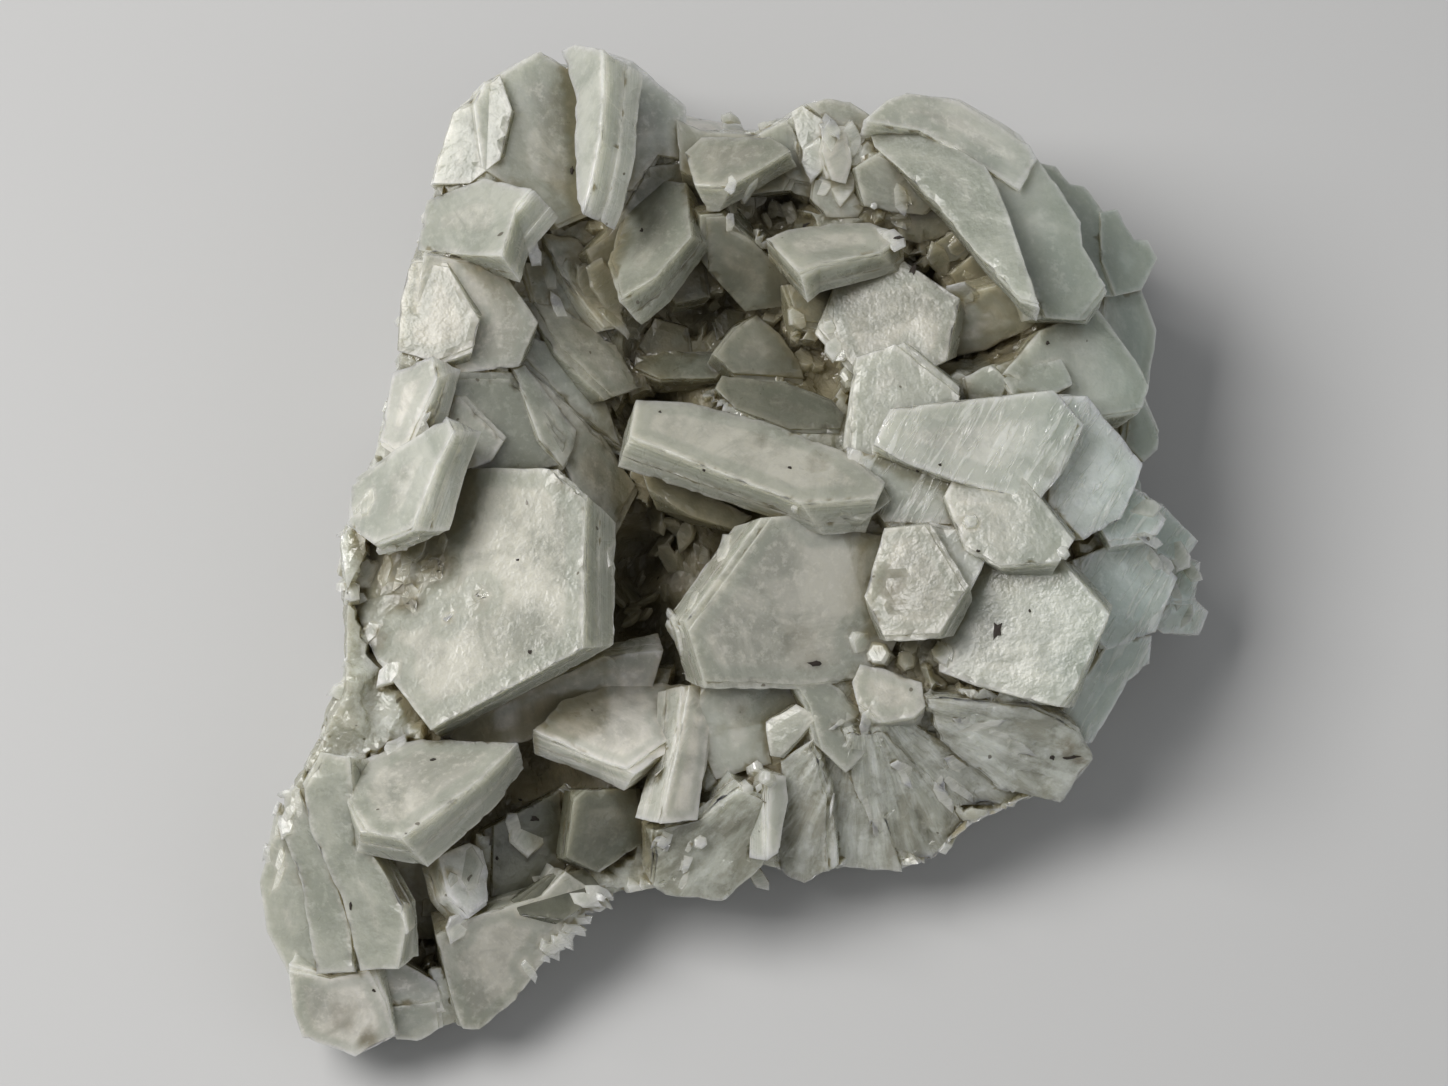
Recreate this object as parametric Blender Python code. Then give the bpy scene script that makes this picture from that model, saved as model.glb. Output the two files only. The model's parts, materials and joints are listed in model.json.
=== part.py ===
"""A poker chip calcite: one intergrown cluster of flat six-sided calcite plates on their own broken rock.

The cluster lies on its sawn underside, z = 0. Shapes are set out as the photograph shows them: corners are
photo pixels on a picture plane that leans back over the table, depths are millimetres towards the viewer.
"""

import math
import random
from typing import NamedTuple

import bmesh
import bpy
from mathutils import Vector, noise

MM = 0.001

# The picture plane and the viewpoint
PIXEL = 0.125 * MM
PICTURE_CENTRE = (724.0, 543.0)
VIEW_ELEVATION = math.radians(70.0)
VIEW_DISTANCE = 754.0 * MM
PICTURE_HEIGHT = 30.0 * MM

RIGHT = Vector((1.0, 0.0, 0.0))
UP = Vector((0.0, math.sin(VIEW_ELEVATION), math.cos(VIEW_ELEVATION)))
TOWARDS = Vector((0.0, -math.cos(VIEW_ELEVATION), math.sin(VIEW_ELEVATION)))
CENTRE = Vector((0.0, 0.0, PICTURE_HEIGHT))
EYE = CENTRE + TOWARDS * VIEW_DISTANCE


class Chip(NamedTuple):
    """A crystal plate: depth and thickness in mm, lean right and up, front corners in the photo."""

    name: str
    depth: float
    lean: tuple
    thick: float
    corners: tuple


CHIPS = (
    # Left column, from the top
    Chip("crown", -3, (0.35, 0.10), 5.0,
         ((484, 82), (540, 50), (562, 64), (590, 84), (592, 215), (560, 228), (516, 190), (482, 168),
          (474, 104))),
    Chip("crown side", -1.4, (-0.20, 0.12), 4.6,
         ((474, 94), (500, 74), (512, 110), (500, 160), (470, 184), (428, 184), (440, 146), (452, 112))),
    Chip("standing slab", 5, (-1.30, 0.50), 5.8,
         ((561, 51), (574, 44), (602, 49), (603, 92), (599, 140), (590, 185), (582, 214), (575, 200),
          (573, 150), (575, 95))),
    Chip("slab wing", -5, (0.30, 0.10), 4.5,
         ((610, 52), (634, 60), (686, 106), (689, 160), (664, 156), (640, 190), (600, 190))),
    Chip("hook", 0, (-0.50, 0.85), 5.0,
         ((606, 262), (632, 178), (686, 182), (691, 236), (656, 276), (618, 300))),
    Chip("hook behind", -5, (0.35, -0.10), 4.0,
         ((586, 250), (606, 232), (640, 168), (700, 160), (712, 200), (640, 290), (610, 300))),
    Chip("step block", 4, (-0.90, 0.60), 5.4,
         ((416, 250), (426, 200), (484, 178), (533, 189), (514, 212), (501, 256), (462, 254))),
    Chip("left facet", 3, (0.15, 0.05), 4.5,
         ((424, 252), (500, 266), (538, 322), (519, 367), (452, 374), (412, 332))),
    Chip("left facet top", 4.4, (-0.12, 0.15), 3.5,
         ((412, 256), (446, 262), (480, 320), (472, 352), (440, 364), (398, 352), (400, 300))),
    Chip("upper left slab", 8, (-0.80, 0.30), 4.5,
         ((378, 446), (392, 372), (432, 356), (437, 378), (424, 412), (404, 462))),
    Chip("lower left slab", 11, (-0.90, 0.35), 5.2,
         ((352, 478), (396, 446), (446, 416), (453, 432), (436, 466), (410, 532), (376, 546), (346, 524))),
    Chip("left step", 4, (0.20, 0.00), 3.2,
         ((454, 396), (468, 396), (507, 436), (491, 463), (464, 470), (444, 430))),
    Chip("long plate", 2, (0.30, -0.05), 4.0,
         ((452, 372), (513, 372), (568, 438), (559, 466), (478, 480), (446, 428))),
    Chip("long plate edge", 0, (0.75, 0.20), 4.0,
         ((513, 368), (524, 363), (577, 430), (577, 446), (566, 470), (540, 440))),
    Chip("behind long plate", -3, (0.50, 0.05), 4.0,
         ((524, 362), (606, 438), (639, 490), (612, 546), (588, 520), (552, 440))),
    Chip("great chip", 6, (-0.55, 0.30), 5.8,
         ((440, 468), (557, 468), (585, 492), (583, 648), (430, 730), (372, 655), (348, 590), (392, 500))),
    # Plates that fan down the left side of the hollow
    Chip("fan one", -5, (0.45, 0.35), 3.2,
         ((540, 232), (578, 238), (616, 292), (628, 326), (606, 330), (562, 276))),
    Chip("fan two", -5, (0.55, 0.25), 3.2,
         ((520, 262), (546, 262), (606, 330), (636, 384), (616, 388), (570, 348), (532, 300))),
    Chip("fan three", -4, (0.45, 0.30), 3.2,
         ((524, 300), (560, 306), (616, 344), (640, 388), (606, 400), (556, 352))),
    Chip("fan four", -4, (0.55, 0.15), 3.2,
         ((516, 330), (552, 344), (604, 396), (622, 446), (574, 414), (522, 364))),
    # Bottom left foot
    Chip("elbow chip", 11, (-0.30, 1.10), 5.8,
         ((352, 764), (400, 742), (422, 737), (518, 742), (482, 778), (400, 838), (360, 830), (346, 800))),
    Chip("drape one", 10, (-0.35, -0.10), 4.2,
         ((320, 752), (349, 757), (354, 802), (374, 856), (403, 906), (405, 934), (398, 969), (360, 971),
          (342, 900), (310, 832), (302, 784))),
    Chip("drape two", 7, (-0.45, -0.10), 4.2,
         ((284, 792), (306, 788), (332, 856), (352, 926), (354, 972), (316, 974), (300, 880), (282, 834))),
    Chip("drape three", 4, (-0.60, -0.10), 4.2,
         ((276, 806), (290, 820), (306, 872), (322, 930), (322, 976), (288, 974), (266, 932), (259, 882))),
    Chip("toe", 4, (-0.15, -0.50), 5.0,
         ((288, 966), (330, 976), (374, 970), (388, 1003), (396, 1036), (355, 1057), (302, 1038),
          (292, 1008))),
    Chip("toe step", 3, (0.10, -0.40), 4.0,
         ((374, 968), (402, 962), (436, 982), (446, 1014), (420, 1022), (388, 1006))),
    Chip("toe nub", 1, (0.10, -0.70), 4.0,
         ((388, 1008), (440, 1002), (444, 1030), (422, 1042), (396, 1040))),
    Chip("tail plate", 2, (0.35, -0.30), 5.0,
         ((436, 936), (470, 918), (542, 896), (566, 872), (604, 898), (560, 945), (516, 1000), (480, 1030),
          (463, 1030), (452, 1000))),
    Chip("tail step", 2, (0.20, 0.25), 3.5,
         ((512, 900), (548, 874), (586, 868), (604, 890), (566, 920), (520, 914))),
    Chip("fan chip", 5, (0.60, 0.20), 3.6,
         ((438, 856), (470, 842), (484, 850), (491, 880), (488, 905), (470, 918), (448, 896))),
    Chip("foot recess", 0, (0.10, -0.50), 4.0,
         ((390, 862), (440, 852), (462, 912), (440, 940), (404, 940), (398, 900))),
    Chip("foot pane", 0, (0.30, -0.20), 4.0,
         ((486, 830), (560, 790), (566, 870), (520, 902), (484, 900))),
    Chip("lower hex", 3, (0.60, -0.25), 4.0,
         ((574, 800), (586, 790), (642, 788), (652, 840), (602, 874), (566, 858))),
    Chip("mid hex", 4, (0.05, 0.80), 3.8,
         ((533, 730), (562, 700), (626, 680), (690, 684), (690, 734), (636, 772), (600, 760))),
    Chip("under great chip", 0, (0.05, -0.35), 4.0,
         ((436, 736), (520, 694), (604, 656), (664, 650), (650, 700), (560, 716), (530, 742), (480, 748))),
    # Middle
    Chip("long slab", 6, (0.12, 0.95), 5.0,
         ((636, 399), (690, 402), (762, 420), (846, 450), (886, 481), (878, 498), (800, 503), (720, 472),
          (629, 436))),
    Chip("long slab end", 8, (0.10, 0.45), 3.0,
         ((810, 468), (884, 481), (892, 500), (866, 520), (800, 512))),
    Chip("under slab", -3, (0.05, 0.30), 3.2,
         ((640, 466), (700, 486), (752, 516), (736, 530), (690, 516), (648, 490))),
    Chip("lens", 0, (0.10, 0.45), 3.2,
         ((715, 388), (722, 375), (786, 380), (832, 399), (846, 412), (839, 434), (790, 432), (735, 408))),
    Chip("hollow bar", -9, (0.00, 0.50), 3.6,
         ((636, 356), (664, 350), (726, 351), (732, 362), (716, 378), (660, 380), (634, 370))),
    Chip("hollow dome", -7, (0.20, 0.15), 4.0,
         ((712, 352), (734, 326), (757, 314), (780, 334), (800, 362), (806, 384), (740, 380))),
    Chip("hollow hex", -12, (0.05, 0.10), 4.0,
         ((638, 346), (655, 318), (690, 328), (694, 356), (660, 372))),
    Chip("hollow round", -12, (0.10, 0.20), 3.0,
         ((712, 320), (726, 308), (748, 312), (742, 330), (716, 340))),
    Chip("blue chip", -7, (0.20, 0.10), 3.6,
         ((666, 292), (690, 256), (708, 266), (712, 296), (676, 304))),
    Chip("prow", -3, (0.05, -0.55), 4.2,
         ((700, 216), (722, 214), (762, 250), (790, 276), (789, 306), (745, 312), (702, 264))),
    Chip("roof slab", 1, (0.00, 1.25), 4.4,
         ((766, 238), (786, 228), (830, 221), (870, 222), (903, 234), (880, 252), (820, 264), (800, 274))),
    Chip("under roof", -4, (0.10, 0.20), 3.5,
         ((782, 284), (850, 282), (866, 300), (846, 330), (796, 326))),
    Chip("north chip", 0, (-0.20, 0.90), 4.0,
         ((684, 150), (698, 137), (770, 136), (791, 150), (730, 186), (694, 184))),
    Chip("north chip behind", -5, (0.10, 0.30), 4.0,
         ((676, 118), (700, 130), (758, 134), (800, 118), (812, 150), (790, 190), (730, 196), (680, 170))),
    # The arch over the hollow
    Chip("pale block one", -4, (0.00, -0.15), 4.4,
         ((758, 134), (791, 116), (806, 150), (812, 186), (790, 182))),
    Chip("pale block two", -3, (-0.20, 0.10), 4.4,
         ((790, 112), (806, 102), (836, 122), (828, 164), (812, 170), (798, 142))),
    Chip("pale block three", -3, (0.15, 0.10), 4.4,
         ((806, 103), (825, 98), (850, 102), (872, 116), (868, 140), (848, 152), (828, 122))),
    Chip("pale block four", -4, (0.10, -0.25), 4.2,
         ((812, 180), (850, 180), (866, 204), (858, 218), (826, 218), (810, 198))),
    Chip("pale block five", -2, (0.20, 0.00), 3.8,
         ((826, 124), (846, 126), (853, 162), (846, 184), (828, 180), (820, 152))),
    Chip("arch inner", -3, (0.15, -0.20), 4.0,
         ((854, 168), (880, 152), (906, 166), (946, 196), (926, 216), (890, 212), (864, 206))),
    Chip("arch step one", -6, (0.15, -0.30), 3.0,
         ((896, 214), (926, 212), (946, 198), (962, 216), (946, 236), (920, 244), (900, 240))),
    Chip("arch step two", -6, (0.15, -0.30), 3.0,
         ((930, 246), (962, 226), (980, 240), (958, 262), (934, 268))),
    Chip("arch step three", -6, (0.20, -0.30), 3.0,
         ((950, 274), (984, 246), (1006, 262), (1000, 300), (966, 300))),
    Chip("crescent", 2, (-0.15, 0.40), 4.0,
         ((868, 128), (906, 121), (962, 150), (986, 166), (1004, 200), (1016, 236), (1040, 306),
          (1020, 300), (974, 250), (938, 206), (900, 168), (874, 146))),
    Chip("summit", -1.5, (0.20, 0.38), 4.8,
         ((864, 120), (886, 100), (907, 92), (960, 97), (1025, 135), (1037, 159), (1020, 190), (972, 160),
          (920, 130))),
    Chip("shoulder", -1, (0.30, 0.30), 5.0,
         ((986, 160), (1037, 158), (1056, 183), (1081, 222), (1083, 246), (1109, 290), (1086, 320),
          (1046, 318), (1008, 236))),
    Chip("inner wedge", -4, (0.10, -0.70), 4.2,
         ((954, 296), (996, 286), (1044, 313), (1036, 326), (986, 352), (944, 362), (938, 330))),
    Chip("east plate", -3, (0.35, 0.15), 4.8,
         ((1040, 330), (1098, 308), (1136, 360), (1150, 386), (1142, 412), (1100, 420), (1050, 396),
          (1004, 372))),
    Chip("east fold", 0, (0.10, 0.35), 3.4,
         ((1000, 378), (1020, 364), (1062, 358), (1074, 384), (1054, 394), (1010, 396))),
    Chip("east fold small", 0, (-0.10, -0.10), 3.0,
         ((962, 378), (990, 364), (1010, 382), (1004, 398), (966, 400))),
    Chip("far shoulder", -12, (0.50, 0.25), 4.6,
         ((1036, 160), (1056, 166), (1070, 183), (1084, 184), (1106, 211), (1122, 252), (1112, 296),
          (1078, 300), (1040, 240))),
    Chip("far ear", -14, (0.60, 0.30), 4.2,
         ((1100, 212), (1120, 208), (1138, 239), (1148, 240), (1158, 258), (1142, 290), (1116, 296),
          (1102, 260))),
    Chip("far ear low", -15, (0.70, 0.00), 4.6,
         ((1102, 296), (1142, 290), (1157, 330), (1157, 350), (1150, 392), (1122, 392), (1100, 340))),
    Chip("far ear tip", -13, (0.65, -0.15), 4.0,
         ((1128, 396), (1146, 394), (1161, 430), (1158, 450), (1144, 462), (1122, 440))),
    # Right hand plates
    Chip("east hex A", 0, (-0.12, 0.20), 3.4,
         ((905, 261), (960, 298), (947, 360), (900, 384), (850, 374), (814, 334), (834, 286))),
    Chip("east hex B", 4, (-0.10, 0.15), 3.2,
         ((856, 357), (902, 341), (961, 388), (954, 440), (886, 484), (842, 454), (848, 402))),
    Chip("ribbed slab", 8, (0.05, 0.15), 3.6,
         ((890, 409), (1054, 390), (1084, 424), (1062, 474), (1040, 500), (970, 486), (908, 464),
          (872, 444))),
    Chip("ribbed slab low", 6, (0.00, 0.10), 3.4,
         ((846, 446), (910, 462), (990, 470), (978, 506), (952, 532), (890, 530), (850, 480))),
    Chip("ribbed right", 3, (0.35, 0.10), 4.2,
         ((1060, 396), (1088, 396), (1144, 464), (1122, 520), (1084, 540), (1046, 500))),
    Chip("keel plate", 9, (-0.12, 0.20), 3.8,
         ((966, 455), (1003, 452), (1074, 540), (1060, 562), (1000, 568), (966, 552), (944, 496))),
    Chip("spotted chip", 7, (-0.20, 0.12), 4.0,
         ((1060, 558), (1110, 614), (1076, 690), (1062, 708), (1038, 702), (976, 686), (938, 672),
          (940, 640), (962, 600), (985, 560))),
    Chip("eye chip", 10, (-0.18, 0.12), 4.4,
         ((884, 528), (931, 523), (969, 585), (936, 640), (886, 642), (864, 596))),
    Chip("eye chip behind", 8, (-0.10, 0.10), 3.6,
         ((930, 520), (962, 526), (988, 556), (950, 632), (920, 610))),
    Chip("centre chip", 7, (0.32, -0.05), 4.6,
         ((762, 518), (802, 514), (886, 536), (902, 566), (898, 640), (880, 676), (800, 690), (706, 690),
          (686, 622))),
    Chip("centre pane", 4, (0.10, -0.20), 4.0,
         ((700, 676), (796, 668), (798, 704), (768, 724), (772, 764), (716, 780), (698, 740))),
    Chip("prop blade", 6, (0.70, 0.05), 4.4,
         ((684, 686), (700, 684), (717, 713), (708, 770), (698, 820), (660, 824), (676, 744))),
    Chip("lower chip", 7, (0.00, 0.35), 4.0,
         ((852, 682), (860, 664), (884, 668), (922, 682), (926, 706), (914, 717), (880, 723), (858, 708))),
    Chip("knee", 6, (0.30, 0.10), 4.6,
         ((792, 684), (812, 674), (840, 688), (866, 716), (872, 748), (846, 772), (816, 744), (806, 706))),
    Chip("knee step", 6, (-0.20, 0.00), 3.4,
         ((764, 722), (796, 704), (818, 716), (802, 738), (784, 758), (770, 756))),
    Chip("glassy butt", 3, (0.10, -0.55), 5.0,
         ((652, 832), (700, 820), (742, 788), (770, 800), (770, 852), (752, 876), (722, 902), (666, 896),
          (650, 884))),
    Chip("butt blade", 5, (0.80, -0.10), 3.0,
         ((766, 772), (786, 776), (790, 800), (782, 850), (768, 862), (766, 820))),
    # Pale green plates of the right side
    Chip("green plate", -2, (0.50, 0.00), 4.2,
         ((1074, 560), (1112, 544), (1146, 541), (1178, 578), (1156, 632), (1108, 650), (1080, 620))),
    Chip("green shelf", -4, (0.55, -0.35), 4.4,
         ((1062, 712), (1112, 640), (1152, 636), (1150, 664), (1128, 682), (1122, 700), (1096, 744),
          (1076, 748))),
    Chip("green fin one", 0, (0.45, 0.15), 3.4,
         ((1096, 520), (1128, 486), (1146, 492), (1168, 520), (1154, 540), (1112, 546))),
    Chip("green fin two", -8, (0.55, 0.10), 3.2,
         ((1142, 492), (1164, 504), (1199, 541), (1184, 562), (1150, 556))),
    Chip("green fin three", -12, (0.50, 0.00), 3.0,
         ((1160, 556), (1201, 562), (1196, 604), (1166, 606))),
    Chip("green fin four", -13, (0.45, -0.20), 3.0,
         ((1150, 624), (1172, 596), (1196, 600), (1209, 612), (1200, 636), (1164, 634))),
    # The broken fan below
    Chip("broken rib one", 1, (0.35, -0.45), 4.6,
         ((862, 722), (900, 716), (962, 746), (1034, 776), (1014, 806), (950, 806), (900, 772))),
    Chip("broken rib two", 1, (0.20, -0.60), 4.6,
         ((846, 732), (878, 730), (930, 776), (962, 822), (932, 862), (886, 846), (856, 790))),
    Chip("broken rib three", 0, (-0.05, -0.65), 4.6,
         ((806, 746), (852, 744), (880, 800), (902, 872), (850, 868), (816, 850), (800, 800))),
    Chip("broken rib four", 1, (-0.30, -0.60), 4.6,
         ((782, 762), (812, 742), (832, 800), (836, 866), (804, 882), (780, 868), (774, 812))),
    Chip("broken east", 1, (0.30, -0.60), 4.6,
         ((930, 700), (1034, 704), (1080, 730), (1094, 760), (1060, 800), (1000, 790), (940, 744))),
)

# Depths of bare rock that no plate covers, in mm: (photo pixel, depth)
ROCK_DEPTHS = (
    ((650, 400), -20), ((690, 310), -18), ((740, 290), -16), ((610, 500), -14), ((640, 560), -20),
    ((640, 620), -20), ((670, 530), -18), ((720, 540), -14), ((640, 660), -15), ((780, 200), -16),
    ((820, 340), -11), ((830, 380), -10), ((930, 270), -12), ((970, 330), -9), ((1010, 350), -7),
    ((530, 770), -12), ((530, 820), -9), ((450, 890), -6), ((700, 600), -13), ((340, 560), 3),
    ((345, 640), 2), ((350, 700), 5), ((1090, 560), -1), ((1080, 640), -3), ((730, 122), -8),
    ((420, 960), -2), ((1020, 740), 0), ((900, 830), -2), ((960, 790), -1), ((850, 650), 1),
    ((850, 800), -1), ((1000, 800), -3), ((930, 655), 4),
)

# The photo's outline, drawn in a little, which the rock fills
ROCK_RIM = (
    (574, 66), (622, 74), (664, 106), (690, 136), (760, 132), (820, 114), (870, 124), (910, 108),
    (980, 122), (1020, 150), (1060, 206), (1096, 232), (1130, 262), (1134, 340), (1130, 400),
    (1128, 440), (1130, 480), (1150, 530), (1160, 580), (1146, 630), (1118, 676), (1082, 744),
    (1040, 790), (970, 826), (914, 866), (870, 858), (800, 874), (756, 862), (720, 892), (664, 884),
    (600, 888), (556, 936), (508, 992), (470, 1020), (400, 1034), (352, 1044), (306, 1026), (298, 968),
    (276, 900), (284, 810), (316, 750), (346, 694), (348, 600), (340, 540), (372, 472), (404, 350),
    (424, 240), (444, 160), (478, 96), (530, 66),
)

# How the rock is laid out
HUB = (690.0, 520.0)
SPOKES = 44
FACE_RINGS = 7
WALL_SCALES = (0.97, 0.93, 0.89)
BURIAL = 0.8 * MM
RIPPLE = 1.2 * MM

# How a plate is rooted, and how its sides lean
ROOT_LENGTH = 14.0 * MM
ROOT_SCALE = 0.5
SIDE_SLOPE = 0.20

# The plates that grow round the sides and the back
SIDE_PLATES = 42
SIDE_MARGIN = 1.035
SIDE_RADIUS = (5.0 * MM, 10.5 * MM)
SIDE_THICKNESS = (2.2 * MM, 3.8 * MM)
SIDE_SEED = 12


def on_picture(pixel, depth=0.0):
    """The point that the photo shows at this pixel, this far in front of the picture plane."""
    nearer = 1.0 - depth / VIEW_DISTANCE
    across = (pixel[0] - PICTURE_CENTRE[0]) * PIXEL * nearer
    rise = (PICTURE_CENTRE[1] - pixel[1]) * PIXEL * nearer
    return CENTRE + RIGHT * across + UP * rise + TOWARDS * depth


def photo_pixel(point):
    """The photo pixel that shows this point."""
    offset = point - CENTRE
    nearer = 1.0 - offset.dot(TOWARDS) / VIEW_DISTANCE
    return (
        PICTURE_CENTRE[0] + offset.dot(RIGHT) / nearer / PIXEL,
        PICTURE_CENTRE[1] - offset.dot(UP) / nearer / PIXEL,
    )


def middle_of(corners):
    return tuple(sum(values) / len(corners) for values in zip(*corners))


def normal_of(chip):
    return (RIGHT * chip.lean[0] + UP * chip.lean[1] + TOWARDS).normalized()


def on_plane(chip, pixel):
    """The point of the plate's front plane that the photo shows at this pixel."""
    anchor = on_picture(middle_of(chip.corners), chip.depth * MM)
    normal = normal_of(chip)
    ray = on_picture(pixel) - EYE
    return EYE + ray * ((anchor - EYE).dot(normal) / ray.dot(normal))


def plate_face(chip):
    """The front face's corners in space, counter-clockwise seen from in front."""
    corners = [on_plane(chip, pixel) for pixel in chip.corners]
    turned = sum((a.cross(b) for a, b in zip(corners, corners[1:] + corners[:1])), Vector())
    return corners if turned.dot(normal_of(chip)) > 0 else corners[::-1]


def slope_sides(corners, normal, back):
    """The outline at the plate's back: its sides lean out and in by turns, as steep rhombohedron faces do."""
    count = len(corners)
    sides = [corners[(i + 1) % count] - corners[i] for i in range(count)]
    outward = [side.cross(normal).normalized() for side in sides]
    shifts = [min(back * SIDE_SLOPE, 0.2 * side.length) * (-1) ** i for i, side in enumerate(sides)]
    moved = []
    for i, corner in enumerate(corners):
        before, after = outward[i - 1], outward[i]
        turn = before.dot(after)
        if 1.0 - turn * turn < 0.3:
            moved.append(corner.copy())
            continue
        along_before = (shifts[i - 1] - shifts[i] * turn) / (1.0 - turn * turn)
        along_after = (shifts[i] - shifts[i - 1] * turn) / (1.0 - turn * turn)
        moved.append(corner + before * along_before + after * along_after)
    return [corner - normal * back for corner in moved]


def shrink(corners, scale):
    middle = sum(corners, Vector()) / len(corners)
    return [middle + (corner - middle) * scale for corner in corners]


def stack(rings):
    """A closed solid through rings of equally many points, the first at the front."""
    mesh = bmesh.new()
    loops = [[mesh.verts.new(point) for point in ring] for ring in rings]
    for upper, lower in zip(loops, loops[1:]):
        for i in range(len(upper)):
            mesh.faces.new((upper[i - 1], lower[i - 1], lower[i], upper[i]))
    mesh.faces.new(loops[0])
    mesh.faces.new(loops[-1][::-1])
    return mesh


def grown_plate(corners, normal, thick, root):
    """One plate, with a tapering root behind it that ties it into the rock."""
    back = slope_sides(corners, normal, thick)
    return stack([corners, back, [point + root for point in shrink(back, ROOT_SCALE)]])


def root_of(corners):
    """The way back into the rock, cut short above the table."""
    lowest = min(corner.z for corner in corners)
    reach = min(ROOT_LENGTH, max(0.5 * MM, (lowest - 5.0 * MM) / TOWARDS.z))
    return TOWARDS * -reach


def inside(pixel, outline):
    """Whether the pixel lies within the closed outline."""
    within = False
    for (x0, y0), (x1, y1) in zip(outline, outline[1:] + outline[:1]):
        if (y0 > pixel[1]) != (y1 > pixel[1]) and pixel[0] < x0 + (x1 - x0) * (pixel[1] - y0) / (y1 - y0):
            within = not within
    return within


def rock_depth(pixel):
    """The rock's depth here: a blend of what is near, kept behind every plate that covers it."""
    known = [(middle_of(chip.corners), chip.depth - 0.5 * chip.thick) for chip in CHIPS]
    known.extend(ROCK_DEPTHS)
    total, weights = 0.0, 0.0
    for place, depth in known:
        weight = 1.0 / (math.dist(pixel, place) ** 2 + 200.0) ** 1.5
        total += depth * MM * weight
        weights += weight
    depth = total / weights
    for chip in CHIPS:
        if inside(pixel, chip.corners):
            covering = (on_plane(chip, pixel) - CENTRE).dot(TOWARDS)
            depth = min(depth, covering - 0.6 * chip.thick * MM)
    ripple = noise.noise(Vector((pixel[0] / 30.0, pixel[1] / 30.0, 0.0)))
    return depth - BURIAL + ripple * RIPPLE


def rim_points(count):
    """Points at equal steps along the rock's rim."""
    ends = list(zip(ROCK_RIM, ROCK_RIM[1:] + ROCK_RIM[:1]))
    step = sum(math.dist(a, b) for a, b in ends) / count
    points = []
    behind = 0.0
    for a, b in ends:
        length = math.dist(a, b)
        while len(points) * step < behind + length and len(points) < count:
            share = (len(points) * step - behind) / length
            points.append((a[0] + (b[0] - a[0]) * share, a[1] + (b[1] - a[1]) * share))
        behind += length
    return points


def towards_hub(pixel, scale):
    return (HUB[0] + (pixel[0] - HUB[0]) * scale, HUB[1] + (pixel[1] - HUB[1]) * scale)


def on_table(pixel):
    """The point of the table on this pixel's line of sight."""
    ray = on_picture(pixel) - EYE
    return EYE + ray * (-EYE.z / ray.z)


def rock():
    """The rock under the plates: a rough face, walls that draw in to the table, and a flat underside."""
    rim = rim_points(SPOKES)
    mesh = bmesh.new()
    rings = []
    for step in range(1, FACE_RINGS + 1):
        pixels = [towards_hub(pixel, step / FACE_RINGS) for pixel in rim]
        rings.append([mesh.verts.new(on_picture(pixel, rock_depth(pixel))) for pixel in pixels])
    hub = mesh.verts.new(sum((vert.co for vert in rings[0]), Vector()) / SPOKES)
    edge = [vert.co.copy() for vert in rings[-1]]
    for step, scale in enumerate(WALL_SCALES, start=1):
        share = step / len(WALL_SCALES)
        ring = []
        for pixel, top in zip(rim, edge):
            foot = on_table(towards_hub(pixel, scale))
            point = top.lerp(foot, share)
            if step < len(WALL_SCALES):
                point += noise.noise_vector(point / (9.0 * MM)) * 1.6 * MM
            ring.append(mesh.verts.new(point))
        rings.append(ring)
    for i in range(SPOKES):
        mesh.faces.new((hub, rings[0][i - 1], rings[0][i]))
    for upper, lower in zip(rings, rings[1:]):
        for i in range(SPOKES):
            mesh.faces.new((upper[i - 1], lower[i - 1], lower[i], upper[i]))
    mesh.faces.new(rings[-1][::-1])
    bmesh.ops.triangulate(mesh, faces=mesh.faces)
    bmesh.ops.recalc_face_normals(mesh, faces=mesh.faces)
    return mesh


def side_plates():
    """Six-sided plates on the walls that the photo doesn't show, none of them past the photo's outline."""
    chance = random.Random(SIDE_SEED)
    rim = rim_points(SPOKES)
    solids = []
    while len(solids) < SIDE_PLATES:
        pixel = chance.choice(rim)
        edge = on_picture(pixel, rock_depth(pixel))
        foot = on_table(towards_hub(pixel, WALL_SCALES[-1]))
        place = edge.lerp(foot, chance.uniform(0.05, 0.85))
        outward = Vector((place.x, place.y, 0.0)).normalized()
        tilt = Vector((chance.uniform(-0.7, 0.7), chance.uniform(-0.7, 0.7), chance.uniform(0.1, 1.3)))
        normal = (outward + tilt).normalized()
        radius = chance.uniform(*SIDE_RADIUS)
        thick = chance.uniform(*SIDE_THICKNESS)
        spin = chance.uniform(0.0, math.tau)
        frame = normal.to_track_quat("Z", "Y").to_matrix()
        corners = []
        for side in range(6):
            reach = radius * chance.uniform(0.85, 1.15)
            angle = spin + side * math.tau / 6.0
            corners.append(place + frame @ Vector((math.cos(angle), math.sin(angle), 0.0)) * reach)
        corners = [corner + normal * 0.5 * thick for corner in corners]
        shown = [towards_hub(photo_pixel(corner), 1.0 / SIDE_MARGIN) for corner in corners]
        low = min(corner.z for corner in corners)
        if low > 3.0 * MM and all(inside(spot, ROCK_RIM) for spot in shown):
            solids.append(grown_plate(corners, normal, thick, outward * -4.0 * MM))
    return solids


def add_object(name, mesh):
    data = bpy.data.meshes.new(name)
    mesh.to_mesh(data)
    mesh.free()
    made = bpy.data.objects.new(name, data)
    bpy.context.scene.collection.objects.link(made)
    return made


def clear_scene():
    for old in list(bpy.data.objects):
        bpy.data.objects.remove(old, do_unlink=True)


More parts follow.
